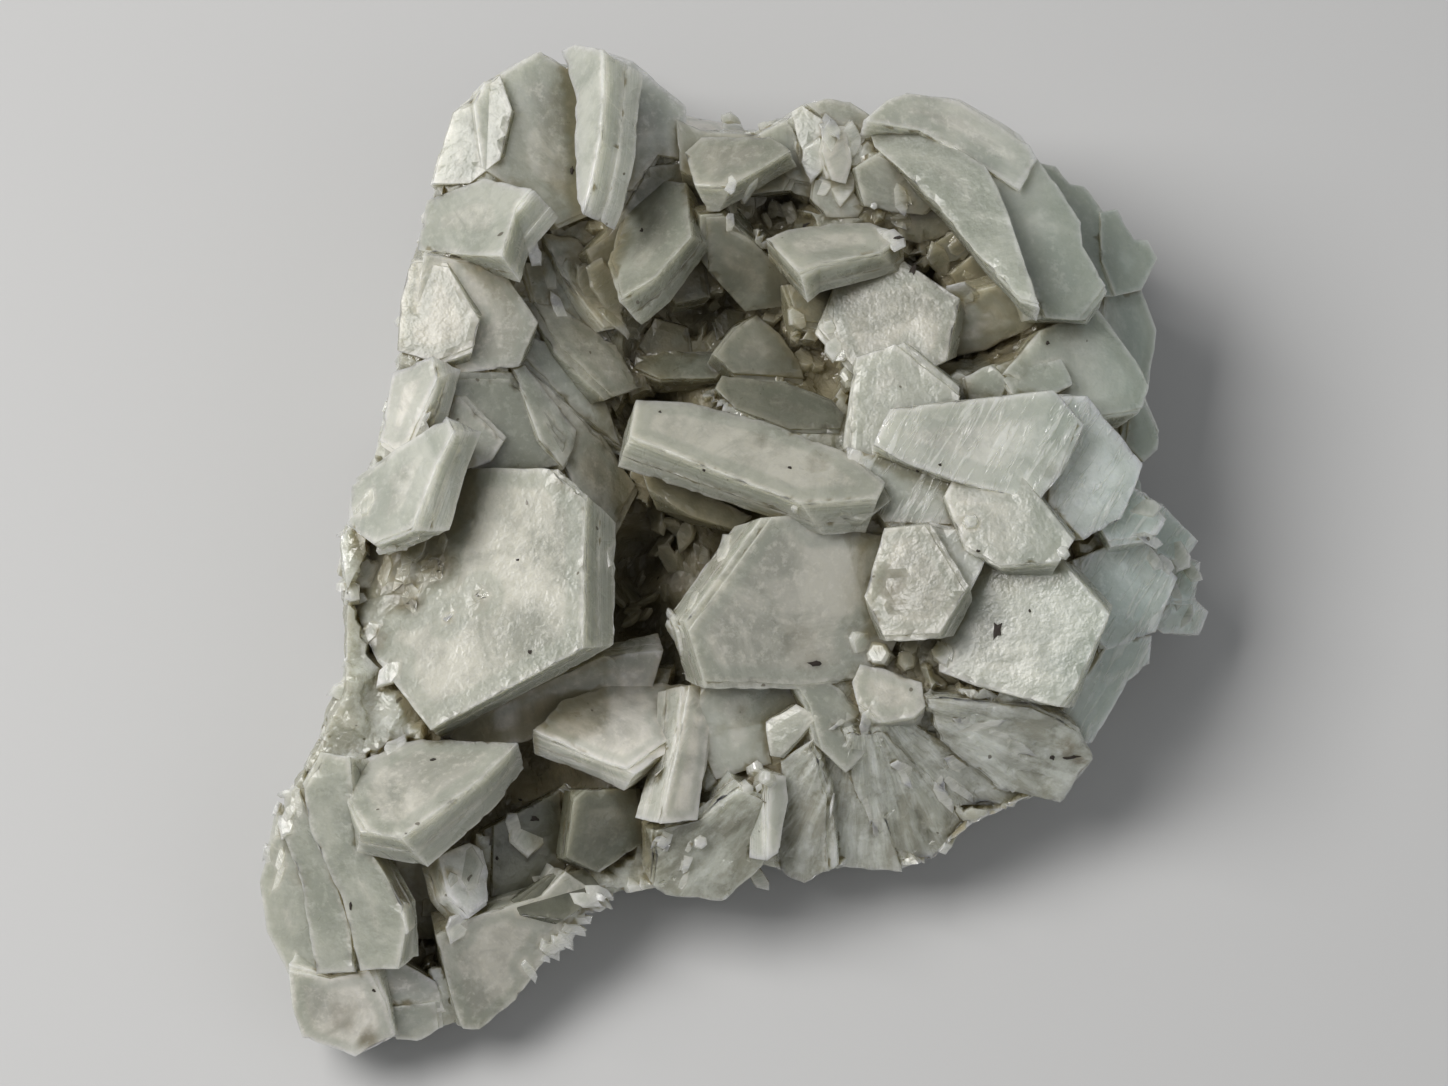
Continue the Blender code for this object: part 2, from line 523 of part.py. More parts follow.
def calcite():
    """Milky calcite, white with a breath of grey green."""
    material = bpy.data.materials.new("calcite")
    material.use_nodes = True
    shader = material.node_tree.nodes["Principled BSDF"]
    shader.inputs["Base Color"].default_value = (0.60, 0.60, 0.55, 1.0)
    shader.inputs["Roughness"].default_value = 0.35
    shader.inputs["Metallic"].default_value = 0.0
    material.diffuse_color = (0.60, 0.60, 0.55, 1.0)
    return material


def shells_of(mesh):
    """The mesh's separate shells, as lists of faces."""
    left = set(mesh.faces)
    shells = []
    while left:
        start = left.pop()
        shell, edge = [start], [start]
        while edge:
            face = edge.pop()
            for link in face.edges:
                for near in link.link_faces:
                    if near in left:
                        left.remove(near)
                        shell.append(near)
                        edge.append(near)
        shells.append(shell)
    return shells


def keep_outer_shell(mesh):
    """Drops the sealed gaps that the joined plates leave inside the rock."""
    shells = sorted(shells_of(mesh), key=len)
    for shell in shells[:-1]:
        bmesh.ops.delete(mesh, geom=shell, context="FACES")


def helper_collection(name, solids):
    """A collection of solids that another object is joined with or cut by."""
    group = bpy.data.collections.new(name)
    bpy.context.scene.collection.children.link(group)
    for number, solid in enumerate(solids):
        helper = add_object(f"{name} {number}", solid)
        bpy.context.scene.collection.objects.unlink(helper)
        group.objects.link(helper)
        helper.hide_render = True
        helper.display_type = "WIRE"
    return group


def joined(body, group):
    """The body's mesh, joined with all of the group."""
    union = body.modifiers.new("join the plates", "BOOLEAN")
    union.operation = "UNION"
    union.operand_type = "COLLECTION"
    union.collection = group
    union.solver = "MANIFOLD"
    bpy.context.view_layer.update()
    graph = bpy.context.evaluated_depsgraph_get()
    mesh = bmesh.new()
    mesh.from_mesh(body.evaluated_get(graph).to_mesh())
    body.modifiers.remove(union)
    return mesh


def main():
    clear_scene()
    plates = [grown_plate(plate_face(c), normal_of(c), c.thick * MM, root_of(plate_face(c))) for c in CHIPS]
    group = helper_collection("plates", plates + side_plates())
    body = add_object("rock", rock())
    mesh = joined(body, group)
    keep_outer_shell(mesh)
    cluster = add_object("calcite_cluster", mesh)
    cluster.data.materials.clear()
    cluster.data.materials.append(calcite())
    bpy.data.objects.remove(body)


main()
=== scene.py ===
"""The look of the poker chip calcite: layered and rimmed plates, crumbled rock, milky translucent calcite."""

import json
import math
import random
from typing import NamedTuple

import bmesh
import bpy
import numpy as np
from mathutils import Matrix, Vector, noise
from mathutils.bvhtree import BVHTree
from mathutils.kdtree import KDTree

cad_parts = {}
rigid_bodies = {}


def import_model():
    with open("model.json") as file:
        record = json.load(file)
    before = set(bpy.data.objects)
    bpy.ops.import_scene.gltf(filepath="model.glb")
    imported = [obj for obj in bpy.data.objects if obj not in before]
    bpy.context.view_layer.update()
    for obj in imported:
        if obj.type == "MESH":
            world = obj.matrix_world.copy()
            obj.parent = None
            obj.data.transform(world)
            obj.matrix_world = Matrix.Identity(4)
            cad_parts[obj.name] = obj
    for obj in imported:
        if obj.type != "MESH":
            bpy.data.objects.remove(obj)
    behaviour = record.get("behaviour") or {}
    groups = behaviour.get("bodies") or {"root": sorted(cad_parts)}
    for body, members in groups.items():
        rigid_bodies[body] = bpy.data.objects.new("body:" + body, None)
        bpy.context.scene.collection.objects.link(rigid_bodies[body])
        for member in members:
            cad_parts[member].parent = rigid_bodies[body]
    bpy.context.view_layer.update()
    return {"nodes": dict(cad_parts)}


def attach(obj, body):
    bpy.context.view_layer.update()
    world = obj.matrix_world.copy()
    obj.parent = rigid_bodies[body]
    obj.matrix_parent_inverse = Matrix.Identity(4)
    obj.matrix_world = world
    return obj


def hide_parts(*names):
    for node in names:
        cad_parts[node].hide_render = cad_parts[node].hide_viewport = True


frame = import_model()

MM = 0.001

# The picture plane and the viewpoint, as in the model
PIXEL = 0.125 * MM
PICTURE_SIZE = (1448, 1086)
PICTURE_CENTRE = (724.0, 543.0)
VIEW_ELEVATION = math.radians(70.0)
VIEW_DISTANCE = 754.0 * MM
PICTURE_HEIGHT = 30.0 * MM

RIGHT = Vector((1.0, 0.0, 0.0))
UP = Vector((0.0, math.sin(VIEW_ELEVATION), math.cos(VIEW_ELEVATION)))
TOWARDS = Vector((0.0, -math.cos(VIEW_ELEVATION), math.sin(VIEW_ELEVATION)))
CENTRE = Vector((0.0, 0.0, PICTURE_HEIGHT))
EYE = CENTRE + TOWARDS * VIEW_DISTANCE


class Chip(NamedTuple):
    """A crystal plate: depth and thickness in mm, lean right and up, front corners in the photo."""

    name: str
    depth: float
    lean: tuple
    thick: float
    corners: tuple


CHIPS = (
    # Left column, from the top
    Chip("crown", -3, (0.35, 0.10), 5.0,
         ((484, 82), (540, 50), (562, 64), (590, 84), (592, 215), (560, 228), (516, 190), (482, 168),
          (474, 104))),
    Chip("crown side", -1.4, (-0.20, 0.12), 4.6,
         ((474, 94), (500, 74), (512, 110), (500, 160), (470, 184), (428, 184), (440, 146), (452, 112))),
    Chip("standing slab", 5, (-1.30, 0.50), 5.8,
         ((561, 51), (574, 44), (602, 49), (603, 92), (599, 140), (590, 185), (582, 214), (575, 200),
          (573, 150), (575, 95))),
    Chip("slab wing", -5, (0.30, 0.10), 4.5,
         ((610, 52), (634, 60), (686, 106), (689, 160), (664, 156), (640, 190), (600, 190))),
    Chip("hook", 0, (-0.50, 0.85), 5.0,
         ((606, 262), (632, 178), (686, 182), (691, 236), (656, 276), (618, 300))),
    Chip("hook behind", -5, (0.35, -0.10), 4.0,
         ((586, 250), (606, 232), (640, 168), (700, 160), (712, 200), (640, 290), (610, 300))),
    Chip("step block", 4, (-0.90, 0.60), 5.4,
         ((416, 250), (426, 200), (484, 178), (533, 189), (514, 212), (501, 256), (462, 254))),
    Chip("left facet", 3, (0.15, 0.05), 4.5,
         ((424, 252), (500, 266), (538, 322), (519, 367), (452, 374), (412, 332))),
    Chip("left facet top", 4.4, (-0.12, 0.15), 3.5,
         ((412, 256), (446, 262), (480, 320), (472, 352), (440, 364), (398, 352), (400, 300))),
    Chip("upper left slab", 8, (-0.80, 0.30), 4.5,
         ((378, 446), (392, 372), (432, 356), (437, 378), (424, 412), (404, 462))),
    Chip("lower left slab", 11, (-0.90, 0.35), 5.2,
         ((352, 478), (396, 446), (446, 416), (453, 432), (436, 466), (410, 532), (376, 546), (346, 524))),
    Chip("left step", 4, (0.20, 0.00), 3.2,
         ((454, 396), (468, 396), (507, 436), (491, 463), (464, 470), (444, 430))),
    Chip("long plate", 2, (0.30, -0.05), 4.0,
         ((452, 372), (513, 372), (568, 438), (559, 466), (478, 480), (446, 428))),
    Chip("long plate edge", 0, (0.75, 0.20), 4.0,
         ((513, 368), (524, 363), (577, 430), (577, 446), (566, 470), (540, 440))),
    Chip("behind long plate", -3, (0.50, 0.05), 4.0,
         ((524, 362), (606, 438), (639, 490), (612, 546), (588, 520), (552, 440))),
    Chip("great chip", 6, (-0.55, 0.30), 5.8,
         ((440, 468), (557, 468), (585, 492), (583, 648), (430, 730), (372, 655), (348, 590), (392, 500))),
    # Plates that fan down the left side of the hollow
    Chip("fan one", -5, (0.45, 0.35), 3.2,
         ((540, 232), (578, 238), (616, 292), (628, 326), (606, 330), (562, 276))),
    Chip("fan two", -5, (0.55, 0.25), 3.2,
         ((520, 262), (546, 262), (606, 330), (636, 384), (616, 388), (570, 348), (532, 300))),
    Chip("fan three", -4, (0.45, 0.30), 3.2,
         ((524, 300), (560, 306), (616, 344), (640, 388), (606, 400), (556, 352))),
    Chip("fan four", -4, (0.55, 0.15), 3.2,
         ((516, 330), (552, 344), (604, 396), (622, 446), (574, 414), (522, 364))),
    # Bottom left foot
    Chip("elbow chip", 11, (-0.30, 1.10), 5.8,
         ((352, 764), (400, 742), (422, 737), (518, 742), (482, 778), (400, 838), (360, 830), (346, 800))),
    Chip("drape one", 10, (-0.35, -0.10), 4.2,
         ((320, 752), (349, 757), (354, 802), (374, 856), (403, 906), (405, 934), (398, 969), (360, 971),
          (342, 900), (310, 832), (302, 784))),
    Chip("drape two", 7, (-0.45, -0.10), 4.2,
         ((284, 792), (306, 788), (332, 856), (352, 926), (354, 972), (316, 974), (300, 880), (282, 834))),
    Chip("drape three", 4, (-0.60, -0.10), 4.2,
         ((276, 806), (290, 820), (306, 872), (322, 930), (322, 976), (288, 974), (266, 932), (259, 882))),
    Chip("toe", 4, (-0.15, -0.50), 5.0,
         ((288, 966), (330, 976), (374, 970), (388, 1003), (396, 1036), (355, 1057), (302, 1038),
          (292, 1008))),
    Chip("toe step", 3, (0.10, -0.40), 4.0,
         ((374, 968), (402, 962), (436, 982), (446, 1014), (420, 1022), (388, 1006))),
    Chip("toe nub", 1, (0.10, -0.70), 4.0,
         ((388, 1008), (440, 1002), (444, 1030), (422, 1042), (396, 1040))),
    Chip("tail plate", 2, (0.35, -0.30), 5.0,
         ((436, 936), (470, 918), (542, 896), (566, 872), (604, 898), (560, 945), (516, 1000), (480, 1030),
          (463, 1030), (452, 1000))),
    Chip("tail step", 2, (0.20, 0.25), 3.5,
         ((512, 900), (548, 874), (586, 868), (604, 890), (566, 920), (520, 914))),
    Chip("fan chip", 5, (0.60, 0.20), 3.6,
         ((438, 856), (470, 842), (484, 850), (491, 880), (488, 905), (470, 918), (448, 896))),
    Chip("foot recess", 0, (0.10, -0.50), 4.0,
         ((390, 862), (440, 852), (462, 912), (440, 940), (404, 940), (398, 900))),
    Chip("foot pane", 0, (0.30, -0.20), 4.0,
         ((486, 830), (560, 790), (566, 870), (520, 902), (484, 900))),
    Chip("lower hex", 3, (0.60, -0.25), 4.0,
         ((574, 800), (586, 790), (642, 788), (652, 840), (602, 874), (566, 858))),
    Chip("mid hex", 4, (0.05, 0.80), 3.8,
         ((533, 730), (562, 700), (626, 680), (690, 684), (690, 734), (636, 772), (600, 760))),
    Chip("under great chip", 0, (0.05, -0.35), 4.0,
         ((436, 736), (520, 694), (604, 656), (664, 650), (650, 700), (560, 716), (530, 742), (480, 748))),
    # Middle
    Chip("long slab", 6, (0.12, 0.95), 5.0,
         ((636, 399), (690, 402), (762, 420), (846, 450), (886, 481), (878, 498), (800, 503), (720, 472),
          (629, 436))),
    Chip("long slab end", 8, (0.10, 0.45), 3.0,
         ((810, 468), (884, 481), (892, 500), (866, 520), (800, 512))),
    Chip("under slab", -3, (0.05, 0.30), 3.2,
         ((640, 466), (700, 486), (752, 516), (736, 530), (690, 516), (648, 490))),
    Chip("lens", 0, (0.10, 0.45), 3.2,
         ((715, 388), (722, 375), (786, 380), (832, 399), (846, 412), (839, 434), (790, 432), (735, 408))),
    Chip("hollow bar", -9, (0.00, 0.50), 3.6,
         ((636, 356), (664, 350), (726, 351), (732, 362), (716, 378), (660, 380), (634, 370))),
    Chip("hollow dome", -7, (0.20, 0.15), 4.0,
         ((712, 352), (734, 326), (757, 314), (780, 334), (800, 362), (806, 384), (740, 380))),
    Chip("hollow hex", -12, (0.05, 0.10), 4.0,
         ((638, 346), (655, 318), (690, 328), (694, 356), (660, 372))),
    Chip("hollow round", -12, (0.10, 0.20), 3.0,
         ((712, 320), (726, 308), (748, 312), (742, 330), (716, 340))),
    Chip("blue chip", -7, (0.20, 0.10), 3.6,
         ((666, 292), (690, 256), (708, 266), (712, 296), (676, 304))),
    Chip("prow", -3, (0.05, -0.55), 4.2,
         ((700, 216), (722, 214), (762, 250), (790, 276), (789, 306), (745, 312), (702, 264))),
    Chip("roof slab", 1, (0.00, 1.25), 4.4,
         ((766, 238), (786, 228), (830, 221), (870, 222), (903, 234), (880, 252), (820, 264), (800, 274))),
    Chip("under roof", -4, (0.10, 0.20), 3.5,
         ((782, 284), (850, 282), (866, 300), (846, 330), (796, 326))),
    Chip("north chip", 0, (-0.20, 0.90), 4.0,
         ((684, 150), (698, 137), (770, 136), (791, 150), (730, 186), (694, 184))),
    Chip("north chip behind", -5, (0.10, 0.30), 4.0,
         ((676, 118), (700, 130), (758, 134), (800, 118), (812, 150), (790, 190), (730, 196), (680, 170))),
    # The arch over the hollow
    Chip("pale block one", -4, (0.00, -0.15), 4.4,
         ((758, 134), (791, 116), (806, 150), (812, 186), (790, 182))),
    Chip("pale block two", -3, (-0.20, 0.10), 4.4,
         ((790, 112), (806, 102), (836, 122), (828, 164), (812, 170), (798, 142))),
    Chip("pale block three", -3, (0.15, 0.10), 4.4,
         ((806, 103), (825, 98), (850, 102), (872, 116), (868, 140), (848, 152), (828, 122))),
    Chip("pale block four", -4, (0.10, -0.25), 4.2,
         ((812, 180), (850, 180), (866, 204), (858, 218), (826, 218), (810, 198))),
    Chip("pale block five", -2, (0.20, 0.00), 3.8,
         ((826, 124), (846, 126), (853, 162), (846, 184), (828, 180), (820, 152))),
    Chip("arch inner", -3, (0.15, -0.20), 4.0,
         ((854, 168), (880, 152), (906, 166), (946, 196), (926, 216), (890, 212), (864, 206))),
    Chip("arch step one", -6, (0.15, -0.30), 3.0,
         ((896, 214), (926, 212), (946, 198), (962, 216), (946, 236), (920, 244), (900, 240))),
    Chip("arch step two", -6, (0.15, -0.30), 3.0,
         ((930, 246), (962, 226), (980, 240), (958, 262), (934, 268))),
    Chip("arch step three", -6, (0.20, -0.30), 3.0,
         ((950, 274), (984, 246), (1006, 262), (1000, 300), (966, 300))),
    Chip("crescent", 2, (-0.15, 0.40), 4.0,
         ((868, 128), (906, 121), (962, 150), (986, 166), (1004, 200), (1016, 236), (1040, 306),
          (1020, 300), (974, 250), (938, 206), (900, 168), (874, 146))),
    Chip("summit", -1.5, (0.20, 0.38), 4.8,
         ((864, 120), (886, 100), (907, 92), (960, 97), (1025, 135), (1037, 159), (1020, 190), (972, 160),
          (920, 130))),
    Chip("shoulder", -1, (0.30, 0.30), 5.0,
         ((986, 160), (1037, 158), (1056, 183), (1081, 222), (1083, 246), (1109, 290), (1086, 320),
          (1046, 318), (1008, 236))),
    Chip("inner wedge", -4, (0.10, -0.70), 4.2,
         ((954, 296), (996, 286), (1044, 313), (1036, 326), (986, 352), (944, 362), (938, 330))),
    Chip("east plate", -3, (0.35, 0.15), 4.8,
         ((1040, 330), (1098, 308), (1136, 360), (1150, 386), (1142, 412), (1100, 420), (1050, 396),
          (1004, 372))),
    Chip("east fold", 0, (0.10, 0.35), 3.4,
         ((1000, 378), (1020, 364), (1062, 358), (1074, 384), (1054, 394), (1010, 396))),
    Chip("east fold small", 0, (-0.10, -0.10), 3.0,
         ((962, 378), (990, 364), (1010, 382), (1004, 398), (966, 400))),
    Chip("far shoulder", -12, (0.50, 0.25), 4.6,
         ((1036, 160), (1056, 166), (1070, 183), (1084, 184), (1106, 211), (1122, 252), (1112, 296),
          (1078, 300), (1040, 240))),
    Chip("far ear", -14, (0.60, 0.30), 4.2,
         ((1100, 212), (1120, 208), (1138, 239), (1148, 240), (1158, 258), (1142, 290), (1116, 296),
          (1102, 260))),
    Chip("far ear low", -15, (0.70, 0.00), 4.6,
         ((1102, 296), (1142, 290), (1157, 330), (1157, 350), (1150, 392), (1122, 392), (1100, 340))),
    Chip("far ear tip", -13, (0.65, -0.15), 4.0,
         ((1128, 396), (1146, 394), (1161, 430), (1158, 450), (1144, 462), (1122, 440))),
    # Right hand plates
    Chip("east hex A", 0, (-0.12, 0.20), 3.4,
         ((905, 261), (960, 298), (947, 360), (900, 384), (850, 374), (814, 334), (834, 286))),
    Chip("east hex B", 4, (-0.10, 0.15), 3.2,
         ((856, 357), (902, 341), (961, 388), (954, 440), (886, 484), (842, 454), (848, 402))),
    Chip("ribbed slab", 8, (0.05, 0.15), 3.6,
         ((890, 409), (1054, 390), (1084, 424), (1062, 474), (1040, 500), (970, 486), (908, 464),
          (872, 444))),
    Chip("ribbed slab low", 6, (0.00, 0.10), 3.4,
         ((846, 446), (910, 462), (990, 470), (978, 506), (952, 532), (890, 530), (850, 480))),
    Chip("ribbed right", 3, (0.35, 0.10), 4.2,
         ((1060, 396), (1088, 396), (1144, 464), (1122, 520), (1084, 540), (1046, 500))),
    Chip("keel plate", 9, (-0.12, 0.20), 3.8,
         ((966, 455), (1003, 452), (1074, 540), (1060, 562), (1000, 568), (966, 552), (944, 496))),
    Chip("spotted chip", 7, (-0.20, 0.12), 4.0,
         ((1060, 558), (1110, 614), (1076, 690), (1062, 708), (1038, 702), (976, 686), (938, 672),
          (940, 640), (962, 600), (985, 560))),
    Chip("eye chip", 10, (-0.18, 0.12), 4.4,
         ((884, 528), (931, 523), (969, 585), (936, 640), (886, 642), (864, 596))),
    Chip("eye chip behind", 8, (-0.10, 0.10), 3.6,
         ((930, 520), (962, 526), (988, 556), (950, 632), (920, 610))),
    Chip("centre chip", 7, (0.32, -0.05), 4.6,
         ((762, 518), (802, 514), (886, 536), (902, 566), (898, 640), (880, 676), (800, 690), (706, 690),
          (686, 622))),
    Chip("centre pane", 4, (0.10, -0.20), 4.0,
         ((700, 676), (796, 668), (798, 704), (768, 724), (772, 764), (716, 780), (698, 740))),
    Chip("prop blade", 6, (0.70, 0.05), 4.4,
         ((684, 686), (700, 684), (717, 713), (708, 770), (698, 820), (660, 824), (676, 744))),
    Chip("lower chip", 7, (0.00, 0.35), 4.0,
         ((852, 682), (860, 664), (884, 668), (922, 682), (926, 706), (914, 717), (880, 723), (858, 708))),
    Chip("knee", 6, (0.30, 0.10), 4.6,
         ((792, 684), (812, 674), (840, 688), (866, 716), (872, 748), (846, 772), (816, 744), (806, 706))),
    Chip("knee step", 6, (-0.20, 0.00), 3.4,
         ((764, 722), (796, 704), (818, 716), (802, 738), (784, 758), (770, 756))),
    Chip("glassy butt", 3, (0.10, -0.55), 5.0,
         ((652, 832), (700, 820), (742, 788), (770, 800), (770, 852), (752, 876), (722, 902), (666, 896),
          (650, 884))),
    Chip("butt blade", 5, (0.80, -0.10), 3.0,
         ((766, 772), (786, 776), (790, 800), (782, 850), (768, 862), (766, 820))),
    # Pale green plates of the right side
    Chip("green plate", -2, (0.50, 0.00), 4.2,
         ((1074, 560), (1112, 544), (1146, 541), (1178, 578), (1156, 632), (1108, 650), (1080, 620))),
    Chip("green shelf", -4, (0.55, -0.35), 4.4,
         ((1062, 712), (1112, 640), (1152, 636), (1150, 664), (1128, 682), (1122, 700), (1096, 744),
          (1076, 748))),
    Chip("green fin one", 0, (0.45, 0.15), 3.4,
         ((1096, 520), (1128, 486), (1146, 492), (1168, 520), (1154, 540), (1112, 546))),
    Chip("green fin two", -8, (0.55, 0.10), 3.2,
         ((1142, 492), (1164, 504), (1199, 541), (1184, 562), (1150, 556))),
    Chip("green fin three", -12, (0.50, 0.00), 3.0,
         ((1160, 556), (1201, 562), (1196, 604), (1166, 606))),
    Chip("green fin four", -13, (0.45, -0.20), 3.0,
         ((1150, 624), (1172, 596), (1196, 600), (1209, 612), (1200, 636), (1164, 634))),
    # The broken fan below
    Chip("broken rib one", 1, (0.35, -0.45), 4.6,
         ((862, 722), (900, 716), (962, 746), (1034, 776), (1014, 806), (950, 806), (900, 772))),
    Chip("broken rib two", 1, (0.20, -0.60), 4.6,
         ((846, 732), (878, 730), (930, 776), (962, 822), (932, 862), (886, 846), (856, 790))),
    Chip("broken rib three", 0, (-0.05, -0.65), 4.6,
         ((806, 746), (852, 744), (880, 800), (902, 872), (850, 868), (816, 850), (800, 800))),
    Chip("broken rib four", 1, (-0.30, -0.60), 4.6,
         ((782, 762), (812, 742), (832, 800), (836, 866), (804, 882), (780, 868), (774, 812))),
    Chip("broken east", 1, (0.30, -0.60), 4.6,
         ((930, 700), (1034, 704), (1080, 730), (1094, 760), (1060, 800), (1000, 790), (940, 744))),
)

# Between plates at about one level the rock fills the joint: its width in pixels, the greatest step
# between the two plates, and how far below them the rock stays
JOINT_WIDTH = 14.0
JOINT_STEP = 5.5 * MM
JOINT_DEPTH = 0.5 * MM

# Each plate's box in the photo, with a joint's width round it
CHIP_BOXES = [
    (min(x for x, _ in chip.corners) - JOINT_WIDTH, min(y for _, y in chip.corners) - JOINT_WIDTH,
     max(x for x, _ in chip.corners) + JOINT_WIDTH, max(y for _, y in chip.corners) + JOINT_WIDTH)
    for chip in CHIPS
]

# How bright each plate that isn't plain white is painted, by the longest start of its name: partly the
# plate's own tone, partly painted light and shade for how lit or shaded it sits
PLATE_TONES_AND_PAINTED_LIGHT = {
    "crown side": 0.78, "slab wing": 1.3, "hook": 0.65, "step block": 0.9, "left facet": 0.8,
    "left facet top": 0.64, "left step": 0.84, "long plate": 0.65, "long plate edge": 0.85,
    "behind long": 0.6, "great": 0.78, "fan": 1.0, "fan three": 0.55, "fan four": 0.9, "fan chip": 1.3,
    "elbow": 0.85, "drape": 0.78, "toe": 0.9, "toe step": 1.1, "tail": 0.75, "tail step": 0.28,
    "foot pane": 0.32, "foot recess": 1.15, "lower hex": 0.36, "mid hex": 0.95, "under": 0.7,
    "under great": 1.3, "long slab": 0.74, "long slab end": 0.58, "prop": 0.86, "lens": 0.32,
    "hollow": 0.42, "blue": 0.5, "prow": 0.44, "roof": 0.74, "north": 0.62, "pale": 0.75, "arch": 0.64,
    "crescent": 0.8, "summit": 0.95, "shoulder": 0.88, "inner": 1.15, "far": 0.92, "east": 0.84,
    "east hex A": 0.7, "keel": 0.78, "ribbed right": 1.3, "spotted": 0.8, "eye": 0.66,
    "eye chip behind": 0.95, "centre chip": 0.76, "centre pane": 0.9, "lower chip": 0.78, "knee": 0.76,
    "green": 1.25, "glassy": 0.85,
}
ROCK_TONE = 0.88
SHARD_TONE = 0.95
SEED_OF_SEEDS = 4

# Depths of bare rock that no plate covers, in mm: (photo pixel, depth)
ROCK_DEPTHS = (
    ((650, 400), -20), ((690, 310), -18), ((740, 290), -16), ((610, 500), -14), ((640, 560), -20),
    ((640, 620), -20), ((670, 530), -18), ((720, 540), -14), ((640, 660), -15), ((780, 200), -13),
    ((820, 340), -11), ((830, 380), -10), ((930, 270), -12), ((970, 330), -9), ((1010, 350), -7),
    ((530, 770), -12), ((530, 820), -9), ((450, 890), -6), ((700, 600), -13), ((340, 560), 4),
    ((345, 640), 4), ((350, 700), 6), ((1090, 560), -1), ((1080, 640), -3), ((730, 122), -8),
    ((420, 960), -2), ((1020, 740), 0), ((900, 830), -2), ((960, 790), 0), ((850, 650), 1),
    ((850, 800), -1), ((1000, 800), -1.5), ((965, 815), -1), ((930, 655), 4),
)

# The photo's outline, drawn in a little, which the rock fills
ROCK_RIM = (
    (574, 66), (622, 74), (664, 106), (690, 136), (760, 132), (820, 114), (870, 124), (910, 108),
    (980, 122), (1020, 150), (1060, 206), (1096, 232), (1130, 262), (1134, 340), (1130, 400),
    (1128, 440), (1130, 480), (1150, 530), (1160, 580), (1146, 630), (1118, 676), (1082, 744),
    (1040, 790), (970, 826), (914, 866), (870, 858), (800, 874), (756, 862), (720, 892), (664, 884),
    (600, 888), (556, 936), (508, 992), (470, 1020), (400, 1034), (352, 1044), (306, 1026), (298, 968),
    (276, 900), (284, 810), (316, 750), (346, 694), (348, 600), (340, 540), (372, 472), (404, 350),
    (424, 240), (444, 160), (478, 96), (530, 66),
)

# How the rock is laid out
HUB = (690.0, 520.0)
SPOKES = 320
FACE_RINGS = 56
WALL_SCALES = (0.985, 0.97, 0.955, 0.94, 0.93, 0.915, 0.90, 0.89)
BURIAL = 0.8 * MM
RIPPLE = 1.2 * MM

# How a plate is layered and rooted, and how its sides lean; two sides as near in line as this stay in line
ROOT_LENGTH = 14.0 * MM
ROOT_SCALE = 0.5
SIDE_SLOPE = 0.20
LAYER = 2.4 * MM
LAYER_SHIFT = 0.07 * MM
CAP = (0.2 * MM, 0.5 * MM)
TERRACE = (0.3 * MM, 1.3 * MM)
EDGE_BEVEL = 0.12 * MM
IN_LINE = 0.3
LAYER_SEED = 21

# The plates that grow round the sides and the back
SIDE_PLATES = 42
SIDE_MARGIN = 1.035
SIDE_RADIUS = (5.0 * MM, 10.5 * MM)
SIDE_THICKNESS = (2.2 * MM, 3.8 * MM)
SIDE_SPOKES = 44
SIDE_SEED = 12

# The finest triangle edges of plates and of broken surfaces
FINE_EDGE = 1.35 * MM
BROKEN_EDGE = 0.85 * MM
CUT_ROUNDS = 7

# Which edges count as sharp, the steps between their points, and how far off they are felt
SHARP_EDGE = math.radians(28.0)
EDGE_STEP = 0.4 * MM
EDGE_REACH = 6.0 * MM

SHELTER_REACH = 40.0 * MM
SHELTER_RAYS = 18
SHELTER_SEED = 3

# What a face belongs to where it isn't a plate's
ROCK, SHARD = -1, -2

# Where the broken fan below radiates from, in the photo, and at how many pixels out its turn is measured
FAN_FOCUS = (862.0, 690.0)
FAN_RADIUS = 90.0

# Pits and stained spots: (photo pixel, radius in pixels, depth in mm, how brown)
SPOTS = (
    ((890, 585), 20, 0.6, 0.6), ((896, 604), 14, 0.3, 0.5), ((404, 598), 22, 0.4, 0.5),
    ((440, 566), 26, 0.35, 0.5), ((478, 600), 16, 0.25, 0.3), ((376, 640), 16, 0.3, 0.6),
    ((368, 1040), 16, 0.3, 0.9), ((345, 1020), 22, 0.2, 0.4), ((812, 664), 18, 0.2, 0.4),
    ((800, 640), 26, 0.2, 0.3), ((700, 560), 30, 0.2, 0.5), ((410, 890), 26, 0.3, 0.7),
    ((300, 880), 12, 0.2, 0.4), ((560, 480), 16, 0.2, 0.3), ((1050, 470), 12, 0.2, 0.3),
    ((820, 460), 14, 0.3, 0.5), ((760, 440), 12, 0.2, 0.3), ((1066, 748), 14, 0.6, 1.0),
    ((1078, 760), 10, 0.6, 1.0),
)


def on_picture(pixel, depth=0.0):
    """The point that the photo shows at this pixel, this far in front of the picture plane."""
    nearer = 1.0 - depth / VIEW_DISTANCE
    across = (pixel[0] - PICTURE_CENTRE[0]) * PIXEL * nearer
    rise = (PICTURE_CENTRE[1] - pixel[1]) * PIXEL * nearer
    return CENTRE + RIGHT * across + UP * rise + TOWARDS * depth


def photo_pixel(point):
    """The photo pixel that shows this point."""
    offset = point - CENTRE
    nearer = 1.0 - offset.dot(TOWARDS) / VIEW_DISTANCE
    return (
        PICTURE_CENTRE[0] + offset.dot(RIGHT) / nearer / PIXEL,
        PICTURE_CENTRE[1] - offset.dot(UP) / nearer / PIXEL,
    )


def middle_of(corners):
    return tuple(sum(values) / len(corners) for values in zip(*corners))


def normal_of(chip):
    return (RIGHT * chip.lean[0] + UP * chip.lean[1] + TOWARDS).normalized()


